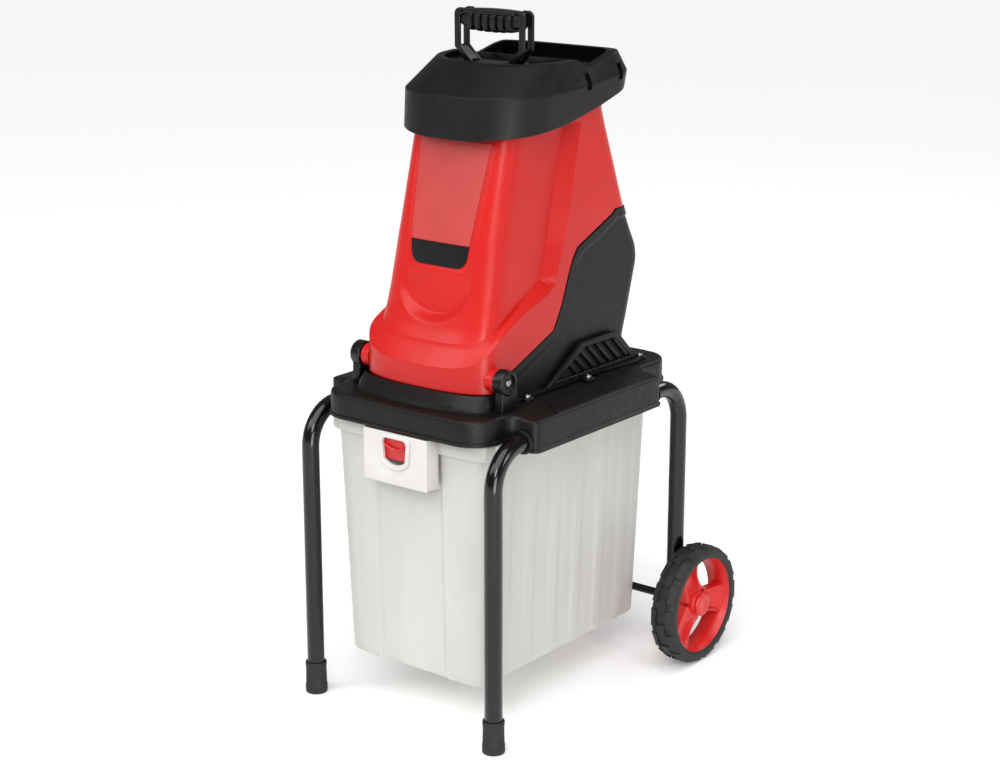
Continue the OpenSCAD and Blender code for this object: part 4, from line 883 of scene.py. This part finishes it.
chute = {
    "plans": [(109, -90, -50, 134, 40, 3), (82, -90, -60, 64, 20, 6), (80, -88, -60, 62, 20, 6),
              (62, -95, -70, 30, 15, 6), (48, -43, -38, -14, 6, 6)],
    "heights": [[[0, 420]], [[0, 411]], [[0, 351]], [[0, 236]], [[-43, 109], [-14, 179]]],
    "wall": 2.5, "counts": (30, 24, 8, 8),
}


def makeChute():
    levels = list(zip(chute["plans"], chute["heights"]))
    outer = [planRing(plan, heights, chute["counts"]) for plan, heights in levels]
    inner = [planRing(plan, heights, chute["counts"], chute["wall"]) for plan, heights in levels]
    made = loft("feedChute", finish["black"], outer[::-1] + inner, closed=True)
    dress(rounded(made, 1.2, 2, 30), "hopper", "black_plastic", "feed_chute")


makeHopper()
makeChute()
print("hopper made")


# pusher

pusher = {"y": -47, "half": 61, "top": 517.5, "deep": 24, "arm": 9.5, "plate": 4.5, "corner": 9,
          "foot": (31, 44), "low": 445.7, "bend": 464, "web": (34, 54, 59, 43), "webDeep": 16,
          "crown": 7, "crownR": 600, "ribs": 6, "rib": 4.2, "gripHalf": 34, "gripLow": 486, "gripTop": 4,
          "gripR": 6.5, "sag": 4.5, "core": 3.4}


def gripRings(xs, inset):                  # rounded section that is deeper in the middle of the grip
    y, top, deep = pusher["y"], pusher["top"] + deckZ, pusher["deep"] / 2
    rings = []
    for x, ease in xs:
        sag = pusher["sag"] * (1 - (x / pusher["half"]) ** 2) - inset - ease
        z0, z1 = pusher["gripLow"] + deckZ + pusher["sag"] - sag, top - pusher["gripTop"]
        w = deep - inset - ease
        r = min(pusher["gripR"], w - 0.5)
        ring = []
        corners = ((w - r, z1 - r, 0), (r - w, z1 - r, 90), (r - w, z0 + r, 180), (w - r, z0 + r, 270))
        for cx, cz, a in corners:
            ring += [(x, y + u, z) for u, z in arcLine(cx, cz, r, a, a + 90, 5)]
        rings.append(ring)
    return rings


def makePusher():
    y, top, low, bend = pusher["y"], pusher["top"] + deckZ, pusher["low"] + deckZ, pusher["bend"] + deckZ
    half, arm, deep, r = pusher["half"], pusher["arm"], pusher["deep"] / 2, pusher["corner"]
    under, ribCount = top - pusher["crown"], pusher["ribs"]
    pieces = []
    for side in (-1, 1):
        line = [(pusher["foot"][1], low), (half, bend), (half, top - r)]
        line += arcLine(half - r, top - r, r, 10, 80, 5) + [(half - r, top), (half - arm - 8, top)]
        line += [(half - arm - 8, under), (half - arm, under - 4), (half - arm, bend + 2),
                 (pusher["foot"][0], low)]
        line = [(side * x, z) for x, z in line]
        for face in (-1, 1):                           # each arm is two plates with an open slit between them
            ys = sorted((y + face * (deep - pusher["plate"]), y + face * deep))
            pieces.append(extruded("arm", finish["grip"], line, ys[0], ys[1], "Y", 1.2, 3))
        web = [(side * x, z) for x, z in zip(pusher["web"], (low + 2, bend + 2, bend + 2, low + 2))]
        pieces.append(extruded("web", finish["grip"], web, y - pusher["webDeep"] / 2,
                               y + pusher["webDeep"] / 2, "Y"))
    inner, crownR = half - arm + 1, pusher["crownR"]
    reach = math.degrees(inner / crownR)
    crown = arcLine(0, top - crownR, crownR, 90 - reach, 90 + reach, 12) + [(-inner, under), (inner, under)]
    pieces.append(extruded("crown", finish["grip"], crown, y - deep, y + deep, "Y", 1.6, 3))
    along = [(k * (half - 9) / 8, 0) for k in range(-8, 9)]
    core = bake(loft("core", finish["grip"], gripRings(along, pusher["core"]), (True, True)))
    rib, gap = pusher["rib"], 2 * pusher["gripHalf"] / (ribCount - 1)
    ribs = []
    for k in range(ribCount):
        c = gap * (k - (ribCount - 1) / 2)
        along = [(c - rib, 1.6), (c - rib + 0.7, 0.3), (c - rib + 1.4, 0), (c + rib - 1.4, 0),
                 (c + rib - 0.7, 0.3), (c + rib, 1.6)]
        ribs.append(bake(loft("rib", finish["grip"], gripRings(along, 0), (True, True))))
    dress(joined("pusherHandle", [core, *ribs, *pieces]), "pusher", "black_plastic", "pusher_handle")
    paddle = roundedCopy("pusherPaddle", "pusher_paddle", finish["grip"], 1.4)
    dress(paddle, "pusher", "black_plastic", "pusher_paddle")


makePusher()
print("pusher made")


# deck and plinth

deck = {"podX": 188, "podY": (-194, 109), "podR": 12, "lobe": 146, "lobeY": (-265, 202), "lobeR": 45,
        "fillet": 16, "front": 36, "side": 49, "sideFrom": (151, 157), "wall": 3,
        "slope": 5, "slopeX": (135, 188),
        "drop": ((-55, -140), (55, 10)), "shoulder": (151, 183, -140, 72, 20), "shoulderH": (-4, 1.8),
        "rail": (140, 148.5, -188, 96, -48.8, -43.3), "rib": (148, 151.5, -188, 96, -49, -2.5),
        "collar": [(0, 12.7), (4, 12.7), (4, 15), (3, 16.4), (0, 17)], "tube": (165, 429)}


def deckHalf(inset):                       # right half of the deck's outline, front centre to rear centre
    px, lx = deck["podX"] - inset, deck["lobe"] - inset
    (p0, p1), (l0, l1) = deck["podY"], deck["lobeY"]
    p0, p1, l0, l1 = p0 + inset, p1 - inset, l0 + inset, l1 - inset
    r, pr, f = deck["lobeR"] - inset, max(2, deck["podR"] - inset), deck["fillet"] + inset
    line = [((lx - r) * k / 8, l0) for k in range(9)]
    line += arcLine(lx - r, l0 + r, r, -90, 0, 16)
    line += arcLine(lx + f, p0 - f, f, 180, 90, 10)
    line += arcLine(px - pr, p0 + pr, pr, -90, 0, 8)
    line += [(px, p0 + pr + (p1 - p0 - 2 * pr) * k / 12) for k in range(1, 12)]
    line += arcLine(px - pr, p1 - pr, pr, 0, 90, 8)
    line += arcLine(lx + f, p1 + f, f, 270, 180, 10)
    line += arcLine(lx - r, l1 - r, r, 0, 90, 16)
    line += [((lx - r) * (1 - k / 8), l1) for k in range(1, 9)]
    return line


def deckSlope(x):                          # how far the top falls away towards the side
    return deck["slope"] * blendTo(*deck["slopeX"], x)


def makeDeck():
    def ring(inset, height, level=0):
        return wholeRing([(x, y, deckZ + height - deckSlope(x) * (1 - level)) for x, y in deckHalf(inset)])

    def foot(inset, lift):
        more = deck["side"] - deck["front"]
        return wholeRing([(x, y, deckZ - deck["front"] - more * blendTo(*deck["sideFrom"], x) + lift)
                          for x, y in deckHalf(inset)])

    rings = [foot(1.5, 0), foot(0, 1), foot(0, 4.6), foot(2.2, 6)]            # bead round the lower edge
    rings += [ring(2.2, -26, 1), ring(2.3, -7, 1), ring(2.6, -4), ring(3.3, -1.8), ring(4.6, -0.6),
              ring(6.5, -0.1), ring(9, 0), ring(34, 0)]
    shell = walled(loft("deckShell", finish["black"], rings, caps=(False, True)), deck["wall"])
    (x0, y0), (x1, y1) = deck["drop"]
    cutAway(shell, [block("dropCut", finish["black"], (x0, y0, deckZ - 20), (x1, y1, deckZ + 20))])
    pieces = [shell]
    inX, outX, front, rear, run = deck["shoulder"]
    low, high = (deckZ + h for h in deck["shoulderH"])
    tubeX, tubeZ = deck["tube"]
    for side in (-1, 1):
        ends = [(outX - (outX - inX) * k / 12, run * blendTo(0, 1, k / 12)) for k in range(13)]
        outline = [(side * x, front + d) for x, d in ends] + [(side * x, rear - d) for x, d in reversed(ends)]
        raised = extruded("shoulder", finish["black"], outline, low, high, "Z", 0.9, 3)
        for v in raised.data.vertices:                 # lies on the slope of the deck's side
            v.co.z -= mm * deckSlope(abs(v.co.x) / mm)
        pieces.append(raised)
        for xa, xb, ya, yb, za, zb in (deck["rail"], deck["rib"]):
            xs = sorted((side * xa, side * xb))
            pieces.append(block("rail", finish["black"], (xs[0], ya, deckZ + za),
                                (xs[1], yb, deckZ + zb), 0.8))
        for yEnd, out in zip(deck["podY"], (-1, 1)):                         # collars where the tubes enter
            profile = [(out * along, radius) for along, radius in deck["collar"]]
            pieces.append(lathe("collar", finish["black"], profile, (side * tubeX, yEnd, tubeZ), "Y", 40))
    dress(joined("baseDeck", pieces), "chassis", "black_plastic", "base_deck")


plinth = {                                 # rings: half, front, shoulder, height
    "rings": [(118, -246, -190, 0.2), (117.4, -243.5, -190, 1.2), (117, -241, -190, 8),
              (113.4, -227, -188, 19.6), (113, -226, -188, 20.5)],
    "rear": -150, "power": 2.5, "inner": 4.5, "side": 0.6,
}


def plinthRing(half, front, shoulder, h):
    arc = frontArc(half, front, shoulder, plinth["power"], 60) + [(half, plinth["rear"])]
    return [(-x, y, h + deckZ) for x, y in reversed(arc[1:])] + [(x, y, h + deckZ) for x, y in arc]


def makePlinth():
    rings = [plinthRing(*ring) for ring in plinth["rings"]]
    half, front, shoulder, top = plinth["rings"][-1]
    rings += [plinthRing(half - plinth["side"], front + plinth["inner"], shoulder, h)
              for h in (top, plinth["rings"][0][3])]
    n, faces = len(rings[0]), []
    for i in range(len(rings)):
        j = (i + 1) % len(rings)
        faces += [(i * n + k, i * n + k + 1, j * n + k + 1, j * n + k) for k in range(n - 1)]
    for k in (0, n - 1):
        faces.append(tuple(i * n + k for i in range(len(rings))))
    made = meshPiece("shellPlinth", finish["black"], [p for r in rings for p in r], faces)
    dress(bake(made, 30), "chassis", "black_plastic", "shell_plinth")


makeDeck()
makePlinth()
print("deck made")


# collection box

tub = {"half": 119, "y": (-232, 149), "floor": -396, "top": -37, "draft": 12, "rimOut": 8, "rimH": 24,
       "lean": 0.7, "shoulder": 20, "corner": 20, "power": 6, "wall": 2.5, "counts": (90, 110, 10, 40),
       "footR": 9, "wallH": 335, "recess": (58, 4.5), "flutes": 6, "fluteDeep": 1.5, "fluteEnds": (25, 22),
       "runner": (138, 147, -225, 135, -43, -37)}


def tubRing(h, grow, inset=0, detail=1):
    out = tub["lean"] * grow
    front, rear = tub["y"]
    line = planHalf(tub["half"] + grow - inset, front - out + inset, front + tub["shoulder"] - out,
                    rear + out - inset, tub["corner"], tub["power"], tub["counts"])
    first, last = front + tub["fluteEnds"][0], rear - tub["fluteEnds"][1]
    made = []
    for x, y in line:
        if detail and y < first:                       # panel drawn in between the front's two steps
            y += tub["recess"][1] * detail * blendTo(3, -3, abs(x) - tub["recess"][0])
        elif detail and y < last:                      # shallow upright flutes on the sides
            t = (y - first) / (last - first)
            wave = abs((t * tub["flutes"]) % 1 - 0.5) * 2
            ends = blendTo(0, 0.03, t) * blendTo(1, 0.97, t)
            x -= tub["fluteDeep"] * detail * blendTo(0.2, 0.55, wave) * ends
        made.append((x, y, h + deckZ))
    return wholeRing(made)


def makeTub():
    low, draft, brim = tub["top"] - tub["rimH"], tub["draft"], tub["draft"] + tub["rimOut"]
    floor, top, r = tub["floor"], tub["top"], tub["footR"]
    rings = []
    for t in (90, 75, 60, 40, 20, 0):                         # rounded foot of the walls
        up, inward = r * (1 - math.sin(math.radians(t))), r * (1 - math.cos(math.radians(t)))
        rings.append(tubRing(floor + up, draft * up / tub["wallH"], inward, 1 - t / 90 * 0.6))
    rings += [tubRing(floor + (low - floor) * t, draft * t) for t in (0.06, 0.2, 0.4, 0.6, 0.8, 0.93)]
    rings += [tubRing(low - 3, draft, 0, 0.8), tubRing(low, draft + 1.5, 0, 0.4),
              tubRing(low + 1.6, brim - 1.5, 0, 0.1), tubRing(low + 3.4, brim, 0, 0),
              tubRing(top - 9, brim, 0, 0), tubRing(top - 1, brim, 0, 0), tubRing(top, brim, 1, 0)]
    pieces = [walled(loft("tubShell", finish["box"], rings, caps=(True, False)), tub["wall"])]
    a, b, y0, y1, z0, z1 = tub["runner"]
    for side in (-1, 1):
        xs = sorted((side * a, side * b))
        pieces.append(block("runner", finish["box"], (xs[0], y0, deckZ + z0), (xs[1], y1, deckZ + z1), 1.2))
    dress(joined("collectionBox", pieces), "box", "box_plastic", "collection_box")


lockPart = {"half": 57, "slant": 4, "front": -266, "back": -246.2, "low": -111, "top": -37.5, "wall": 3,
            "window": (21, 16, 8), "windowTop": -45, "windowCorner": 6, "ring": 7, "ringOut": 2.8}
slider = {"y": (-262.6, -259.6), "half": 25, "back": (-76, -38), "leg": (21, 25, -95, -75),
          "lipHalf": 18, "dip": 5,
          "lip": [(-262.4, -58), (-266.6, -56.5), (-267, -54.5), (-266.4, -53.5), (-262.4, -54)]}


def windowOutline(grow):                   # flat top, round bottom
    half, flat, crown = lockPart["window"]
    top = lockPart["windowTop"] + deckZ
    r = half + crown + grow
    half += grow
    corner = lockPart["windowCorner"] + grow
    line = arcLine(half - corner, top + grow - corner, corner, 0, 90, 6)
    line += arcLine(-half + corner, top + grow - corner, corner, 90, 180, 6)
    low = math.degrees(math.asin(half / r))
    return line + arcLine(0, top - flat + crown, r, 270 - low + 6, 270 + low - 6, 16)


def makeLock():
    half, slant, wall = lockPart["half"], lockPart["slant"], lockPart["wall"]
    y0, y1 = lockPart["front"], lockPart["back"]
    z0, z1 = lockPart["low"] + deckZ, lockPart["top"] + deckZ
    white, window = finish["white"], [windowOutline(0)]
    face = [(-half, z0), (half, z0), (half, z1), (-half, z1)]
    pieces = [extruded("lockFace", white, face, y0, y0 + wall, "Y", 1.0, 2, window)]
    for side in (-1, 1):
        line = [(half, y0 + 1), (half + slant, y1), (half + slant - wall, y1), (half - wall, y0 + 1)]
        pieces.append(extruded("lockSide", white, [(side * x, y) for x, y in line], z0, z1, "Z", 0.8))
    line = [(-half, y0 + 1), (half, y0 + 1), (half + slant, y1), (-half - slant, y1)]
    pieces.append(extruded("lockFloor", white, line, z0, z0 + wall, "Z", 0.8))
    pieces.append(extruded("lockRing", white, windowOutline(lockPart["ring"]), y0 - lockPart["ringOut"],
                           y0 + 1, "Y", 1.7, 3, window))
    dress(joined("lockPanel", pieces), "box", "white_plastic", "lock_panel")


def makeSlider():
    red, (y0, y1), half = finish["redButton"], slider["y"], slider["half"]
    low, high = slider["back"]
    pieces = [block("slideBack", red, (-half, y0, deckZ + low), (half, y1, deckZ + high), 0.8)]
    xa, xb, low, high = slider["leg"]
    for side in (-1, 1):
        xs = sorted((side * xa, side * xb))
        pieces.append(block("slideLeg", red, (xs[0], y0, deckZ + low), (xs[1], y1, deckZ + high), 0.6))
    rings, reach = [], slider["lipHalf"]
    for k in range(17):                                       # curved finger lip
        x = -reach + 2 * reach * k / 16
        dip = slider["dip"] * (1 - (x / reach) ** 2)
        rings.append([(x, y, deckZ + h - dip) for y, h in slider["lip"]])
    pieces.append(bake(loft("slideLip", red, rings, caps=(True, True)), 40))
    dress(joined("lockSlider", pieces), "box_lock", "red_plastic", "lock_slider")


makeTub()
makeLock()
makeSlider()
print("box made")


# frame, feet and wheels

tubes = {"x": 165, "r": 12.5, "bend": 55, "run": 429, "front": -258, "axle": (184, 90),
         "low": 6.2, "end": 73.5, "straight": (60, 200)}


def makeTube(name, side, node):
    x, r, b, run = side * tubes["x"], tubes["r"], tubes["bend"], tubes["run"]
    y0, y1 = tubes["front"], tubes["axle"][0]
    path = [(y0, tubes["low"])] + [(y0, z) for z in tubes["straight"]]
    path += arcLine(y0 + b, run - b, b, 180, 90, 14)
    path += [(y0 + b + (y1 - y0 - 2 * b) * k / 4, run) for k in range(1, 4)]
    path += arcLine(y1 - b, run - b, b, 90, 0, 14)
    path += [(y1, tubes["straight"][1]), (y1, tubes["end"])]
    rings = []
    for i, (y, z) in enumerate(path):
        a, c = path[max(0, i - 1)], path[min(len(path) - 1, i + 1)]
        dy, dz = c[0] - a[0], c[1] - a[1]
        n = math.hypot(dy, dz)
        ring = []
        for k in range(36):
            t = 2 * math.pi * k / 36
            ring.append((x + r * math.cos(t), y - dz / n * r * math.sin(t), z + dy / n * r * math.sin(t)))
        rings.append(ring)
    made = loft(name, finish["tube"], rings, caps=(True, True))
    dress(bake(made, 50), "chassis", "frame_enamel", node)


def makeFoot(name, side, node):
    profile = [(0, 0.1), (0, 13.5), (0.8, 15.4), (3, 16), (12, 16), (13.2, 15.3), (40, 14.9), (41.5, 15.4),
               (46, 15.5), (47.6, 15), (48, 14), (47.4, 12.6), (30, 12.55), (6.2, 12.55), (6.1, 0.1)]
    made = lathe(name, finish["foot"], profile, (side * tubes["x"], tubes["front"], 0), "Z", 56)
    dress(bake(made, 30), "chassis", "foot_rubber", node)


wheel = {"in": 180, "width": 40, "r": 90, "rimR": 71.5, "rimWall": 4, "hubR": 18, "axleR": 6.05, "spokes": 3,
         "spokeTurn": 20, "spokeWall": 4.5, "seatR": 10.2,
         "lugs": 14, "tread": 3.2, "lugTop": 2.9, "lugRoot": -2.4, "lugEase": 0.9, "edgeFall": 2.6}


def wheelLathe(name, look, side, profile, steps):             # profile starts at the wheel's inner face
    place = (side * wheel["in"], *tubes["axle"])
    return lathe(name, finish[look], [(side * along, radius) for along, radius in profile], place, "X", steps)


def wheelRow(name, look, side, shape, count, turn=0):         # a shape right round the axle
    place = (side * wheel["in"], *tubes["axle"])
    row = rowOf(name, shape, finish[look], count, place, (0, 0, 0), (turn, 0, 0), (360 / count, 0, 0))
    bpy.data.objects.remove(shape)
    return row


def makeTyre(name, side, node):
    w, r, bead = wheel["width"], wheel["r"], wheel["rimR"] + wheel["rimWall"]
    base = r - wheel["tread"]
    profile = [(0.8, bead + 0.3), (0.2, bead + 3), (0.6, base - 4), (2.2, base - 1.2), (5, base),
               (w / 2, base + 0.5), (w - 5, base), (w - 2.2, base - 1.2), (w - 0.6, base - 4),
               (w - 0.2, bead + 3), (w - 0.6, bead - 1.5), (w - 1.2, bead - 3.4), (w - 1.9, bead - 3.4),
               (w - 1.8, bead + 0.3)]
    parts = [wheelLathe("carcass", "tyre", side, profile, 112)]

    def lugShape(outline):                 # block on the tread, outline of (along, arc), mm
        cx, cy = (sum(p[k] for p in outline) / len(outline) for k in (0, 1))
        top, ease = wheel["lugTop"], wheel["lugEase"]
        rings = []
        for lift, shrink in ((wheel["lugRoot"], 0), (top - ease, 0), (top, ease)):
            ring = []
            for u, v in outline:
                n = math.hypot(u - cx, v - cy)
                u, v = u - (u - cx) / n * shrink, v - (v - cy) / n * shrink
                edge = wheel["edgeFall"] * blendTo(9, 1.5, min(u, w - u))    # falls away at the tyre's edge
                radius = base + lift + 0.4 - edge
                ring.append((side * u, radius * math.sin(v / r), radius * math.cos(v / r)))
            rings.append(ring)
        return loft("lugShape", finish["tyre"], rings, caps=(True, True))

    pitch = 2 * math.pi * r / wheel["lugs"]
    hexagon = [(13, -8), (20, -12.5), (27, -8), (27, 8), (20, 12.5), (13, 8)]
    edgeLug = [(1.2, -14.5), (10.5, -14.5), (12.2, -11), (10.8, 0), (12.2, 11), (10.5, 14.5), (1.2, 14.5)]
    outlines = [hexagon, [(u, v + pitch / 2) for u, v in edgeLug],
                [(w - u, -v + pitch / 2) for u, v in edgeLug]]
    parts += [wheelRow("lugs", "tyre", side, lugShape(outline), wheel["lugs"]) for outline in outlines]
    dress(joined(name, parts), name.replace("tyre", "wheel_").lower(), "tyre_rubber", node)


def spokeShape(side):                      # a broad channel, deeper in the middle
    hubR, rim, wall = wheel["hubR"], wheel["rimR"], wheel["spokeWall"]
    rings = []
    for k in range(15):
        q = k / 14
        radius = hubR - 3 + (rim - hubR) * q
        half = 17 + 7 * q ** 2.2 + 4 * (1 - q) ** 3
        crown = 27 - 4 * math.sin(math.pi * q) + 3 * q
        dip = 6.5 * math.sin(math.pi * min(1, max(0, (q - 0.08) / 0.84))) ** 0.6
        section = [(-half, 10), (half, 10), (half, crown - 1.5), (half - 1.5, crown), (half - wall, crown),
                   (half - wall - 1.5, crown - dip), (-half + wall + 1.5, crown - dip), (-half + wall, crown),
                   (-half + 1.5, crown), (-half, crown - 1.5)]
        rings.append([(side * a, v, radius) for v, a in section])
    return bake(loft("spokeShape", finish["rim"], rings, caps=(True, True)), 30)


def makeRim(name, side, node):
    w, rim, t = wheel["width"], wheel["rimR"], wheel["rimWall"]
    hubR, axleR, seatR = wheel["hubR"], wheel["axleR"], wheel["seatR"]
    barrel = [(2, rim + t - 0.2), (2, rim - 3), (8, rim - 4), (22, rim - 5), (31, rim - 2.5),
              (w - 4, rim + 0.6), (w - 2.4, rim + 1), (w - 1.6, rim + 2), (w - 1.9, rim + t - 0.4),
              (w - 4, rim + t - 0.2)]
    hub = [(0.2, axleR), (0.2, hubR - 1), (1.2, hubR), (22, hubR + 1.5), (30, hubR + 1), (w - 8.6, hubR),
           (w - 8.2, hubR - 0.8), (w - 8.2, seatR), (w - 16, seatR), (w - 16, axleR)]
    parts = [bake(wheelLathe("barrel", "rim", side, barrel, 96), 30)]
    parts.append(bake(wheelLathe("hub", "rim", side, hub, 64), 30))
    parts.append(wheelRow("spokes", "rim", side, spokeShape(side), wheel["spokes"], wheel["spokeTurn"]))
    body = name.replace("rim", "wheel_").lower()
    dress(joined(name, parts), body, "rim_plastic", node)
    cap = [(w - 7.8, 11), (w - 7.8, 17.6), (w - 4, 17.8), (w - 2.2, 16.8), (w - 1.2, 14), (w - 1, 9),
           (w - 1.4, 7.5), (w - 1.4, 0.1), (w - 4, 0.1), (w - 4, seatR)]
    made = bake(wheelLathe(name.replace("rim", "hubCap"), "rim", side, cap, 64), 30)
    dress(made, body, "rim_plastic", node.replace("wheel_rim", "hub_cap"))


for label, side in (("left", -1), ("right", 1)):
    makeTube("frameTube" + label.title(), side, "frame_tube_" + label)
    makeFoot("foot" + label.title(), side, "foot_" + label)
    makeTyre("tyre" + label.title(), side, "tyre_" + label)
    makeRim("rim" + label.title(), side, "wheel_rim_" + label)
print("frame and wheels made")


# hinge, screws and the rear fittings

hinge = {"x": (119.3, 137), "y": -186, "h": 39.5, "r": 18, "bore": 4.1, "low": 0.2,
         "pin": [(105, 0.1), (105, 3.9), (132.6, 3.9), (132.7, 5.4), (134, 5.4), (135.2, 4.6), (135.7, 2.6),
                 (135.8, 0.1)]}


def hingeLathe(name, look, side, profile, steps):             # turned about the hinge's line
    place = (0, hinge["y"], hinge["h"] + deckZ)
    made = lathe(name, finish[look], [(side * along, radius) for along, radius in profile], place, "X", steps)
    return bake(made, 30)


def makeHinge(name, side, node):
    (x0, x1), r, bore = hinge["x"], hinge["r"], hinge["bore"]
    profile = [(x0, bore), (x0, r - 1), (x0 + 1, r), (x1 - 2.5, r), (x1 - 0.6, r - 1.4), (x1, r - 3.4),
               (x1, r - 5.6), (x1 - 0.6, r - 6.4), (x1 - 4, r - 6.8), (x1 - 4, bore)]
    drum = hingeLathe("drum", "grip", side, profile, 64)
    a, b = sorted((side * (x0 + 2), side * (x1 - 2)))
    y, low, axis = hinge["y"], deckZ + hinge["low"], deckZ + hinge["h"]
    leg = [(y - 15, low), (y + 22, low), (y + 16.5, axis + 4), (y + 6, axis - 5), (y - 13, axis - 8)]
    foot = extruded("hingeLeg", finish["grip"], leg, a, b, "X", 1.5, 3)
    dress(joined(name, [drum, foot]), "chassis", "black_plastic", node)


def makePins():
    pins = [hingeLathe("pin", "zinc", side, hinge["pin"], 40) for side in (-1, 1)]
    dress(joined("hingePins", pins), "chassis", "zinc_steel", "hinge_pins")


makeHinge("hingeBracketLeft", -1, "hinge_bracket_left")
makeHinge("hingeBracketRight", 1, "hinge_bracket_right")
makePins()


screw = {"seat": 5.3, "turn": 15, "spin": 40,                  # pan head with a driver recess
         "profile": [(0, 2.2), (0, 4.5), (0.9, 4.5), (2.2, 3.7), (2.9, 2.4), (3, 1.9), (1.4, 1.5),
                     (1.3, 0.05), (-10, 0.05), (-10, 2.2)]}


def makeScrews():
    shape = bake(lathe("screwShape", finish["zinc"], screw["profile"], (0, 0, 0), "Z", 24), 30)
    rows = [rowOf("screws", shape, finish["zinc"], 2, (-x, y, deckZ + screw["seat"]), (2 * x, 0, 0),
                  (0, 0, screw["turn"]), (0, 0, screw["spin"])) for x, y in flange["screws"]]
    bpy.data.objects.remove(shape)
    dress(joined("housingScrews", rows), "chassis", "zinc_steel", "housing_screws")


makeScrews()

eased = [                                  # name, node, finish, bevel mm, body, slot
    ("axleRod", "axle", "tube", 0.6, "chassis", "frame_enamel"),
    ("axleWashers", "axle_washers", "zinc", 0.3, "chassis", "zinc_steel"),
    ("axleNuts", "axle_nuts", "zinc", 0.6, "chassis", "zinc_steel"),
    ("frameBolts", "frame_bolts", "zinc", 0.5, "chassis", "zinc_steel"),
    ("safetySwitch", "safety_switch", "grip", 0.8, "chassis", "black_plastic"),
    ("safetyPlunger", "safety_plunger", "nylon", 0.5, "plunger", "white_plastic"),
    ("switchBox", "switch_box", "grip", 2.2, "chassis", "black_plastic"),
    ("startButton", "start_button", "green", 1.0, "start", "green_plastic"),
    ("stopButton", "stop_button", "redButton", 1.0, "stop", "red_plastic"),
    ("resetButton", "reset_button", "grip", 0.7, "reset", "black_plastic"),
    ("mainsInlet", "mains_inlet", "grip", 0.8, "chassis", "black_plastic"),
    ("lockKnob", "lock_knob", "grip", 1.6, "knob", "black_plastic"),
]
for name, node, look, bevel, body, slotName in eased:
    dress(roundedCopy(name, node, finish[look], bevel, 3), body, slotName, node)

insideLooks = {
    "chamber_plate": "sheet", "motor_can": "steel", "motor_bolts": "zinc", "stator_core": "steel",
    "field_windings": "copper", "armature": "copper", "commutator": "copper", "brush_holders": "nylon",
    "brushes": "carbon", "shaft": "tool", "shaft_bearings": "tool", "cooling_fan": "grip",
    "blade_disc": "tool", "knives": "tool", "knife_screws": "zinc", "disc_bolt": "zinc", "bed_knife": "tool",
}
for node, look in insideLooks.items():     # inside pieces keep their CAD shape and get their own finish
    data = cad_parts[node].data
    data.materials.clear()
    data.materials.append(finish[look])
print("fittings made")


# floor, light and camera

studio = {
    "surround": 0.2, "aim": (0, 0, 0.6), "floor": 30000, "floorGlow": 0.16, "floorColour": "#F6F6F6",
    "lamps": [                             # name, kind, place m, size m or degrees, power
        ("skyLight", "SUN", (0.5, -1.5, 3.2), 60, 2.4),
        ("keyLight", "AREA", (-1.6, -2.6, 2.3), 1.3, 22),
        ("frontLight", "AREA", (1.9, -2.8, 2.0), 0.9, 26),
        ("sideLight", "AREA", (3.2, 0.3, 1.7), 0.9, 20),
        ("lowLight", "AREA", (1.55, -1.35, 0.4), 0.8, 14),
        ("rearLight", "AREA", (0.6, 2.8, 2.6), 1.2, 22),
    ],
}
view = {"target": (2.5, -37.1, 449.0), "azimuth": 38.19, "elevation": 15.75, "distance": 3014, "lens": 75.4}


def makeStage():
    white, half = (1, 1, 1, 1), studio["floor"]
    paint = newMaterial("paleFloor", Roughness=0.9, Base_Color=hexColour(studio["floorColour"]),
                        Emission_Color=white, Emission_Strength=studio["floorGlow"])[0]
    corners = [(-half, -half, 0), (half, -half, 0), (half, half, 0), (-half, half, 0)]
    floor = meshPiece("floor", paint, corners, [(0, 1, 2, 3)])
    world = bpy.data.worlds.new("studio")
    world.use_nodes = True
    sky = world.node_tree.nodes["Background"].inputs
    sky["Color"].default_value, sky["Strength"].default_value = white, studio["surround"]
    bpy.context.scene.world = world
    for name, kind, place, size, power in studio["lamps"]:
        light = bpy.data.lights.new(name, kind)
        light.energy = power
        if kind == "SUN":
            light.angle = math.radians(size)
        else:
            light.size = size
        lamp = bpy.data.objects.new(name, light)
        bpy.context.scene.collection.objects.link(lamp)
        lamp.visible_camera = False
        lamp.visible_diffuse = name != "lowLight"             # that lamp is there for its reflections only
        lamp.location = place
        lamp.rotation_euler = (Vector(studio["aim"]) - Vector(place)).to_track_quat("-Z", "Y").to_euler()


def makeCamera():
    a, e = math.radians(view["azimuth"]), math.radians(view["elevation"])
    back = Vector((math.sin(a) * math.cos(e), -math.cos(a) * math.cos(e), math.sin(e)))
    camera = bpy.data.objects.new("camera", bpy.data.cameras.new("camera"))
    bpy.context.scene.collection.objects.link(camera)
    camera.data.sensor_width, camera.data.lens = 36, view["lens"]
    camera.data.clip_end = 50
    camera.location = Vector([c * mm for c in view["target"]]) + back * view["distance"] * mm
    camera.rotation_euler = (-back).to_track_quat("-Z", "Y").to_euler()
    bpy.context.scene.camera = camera
    bpy.context.scene.view_settings.view_transform = "Standard"


makeStage()
makeCamera()
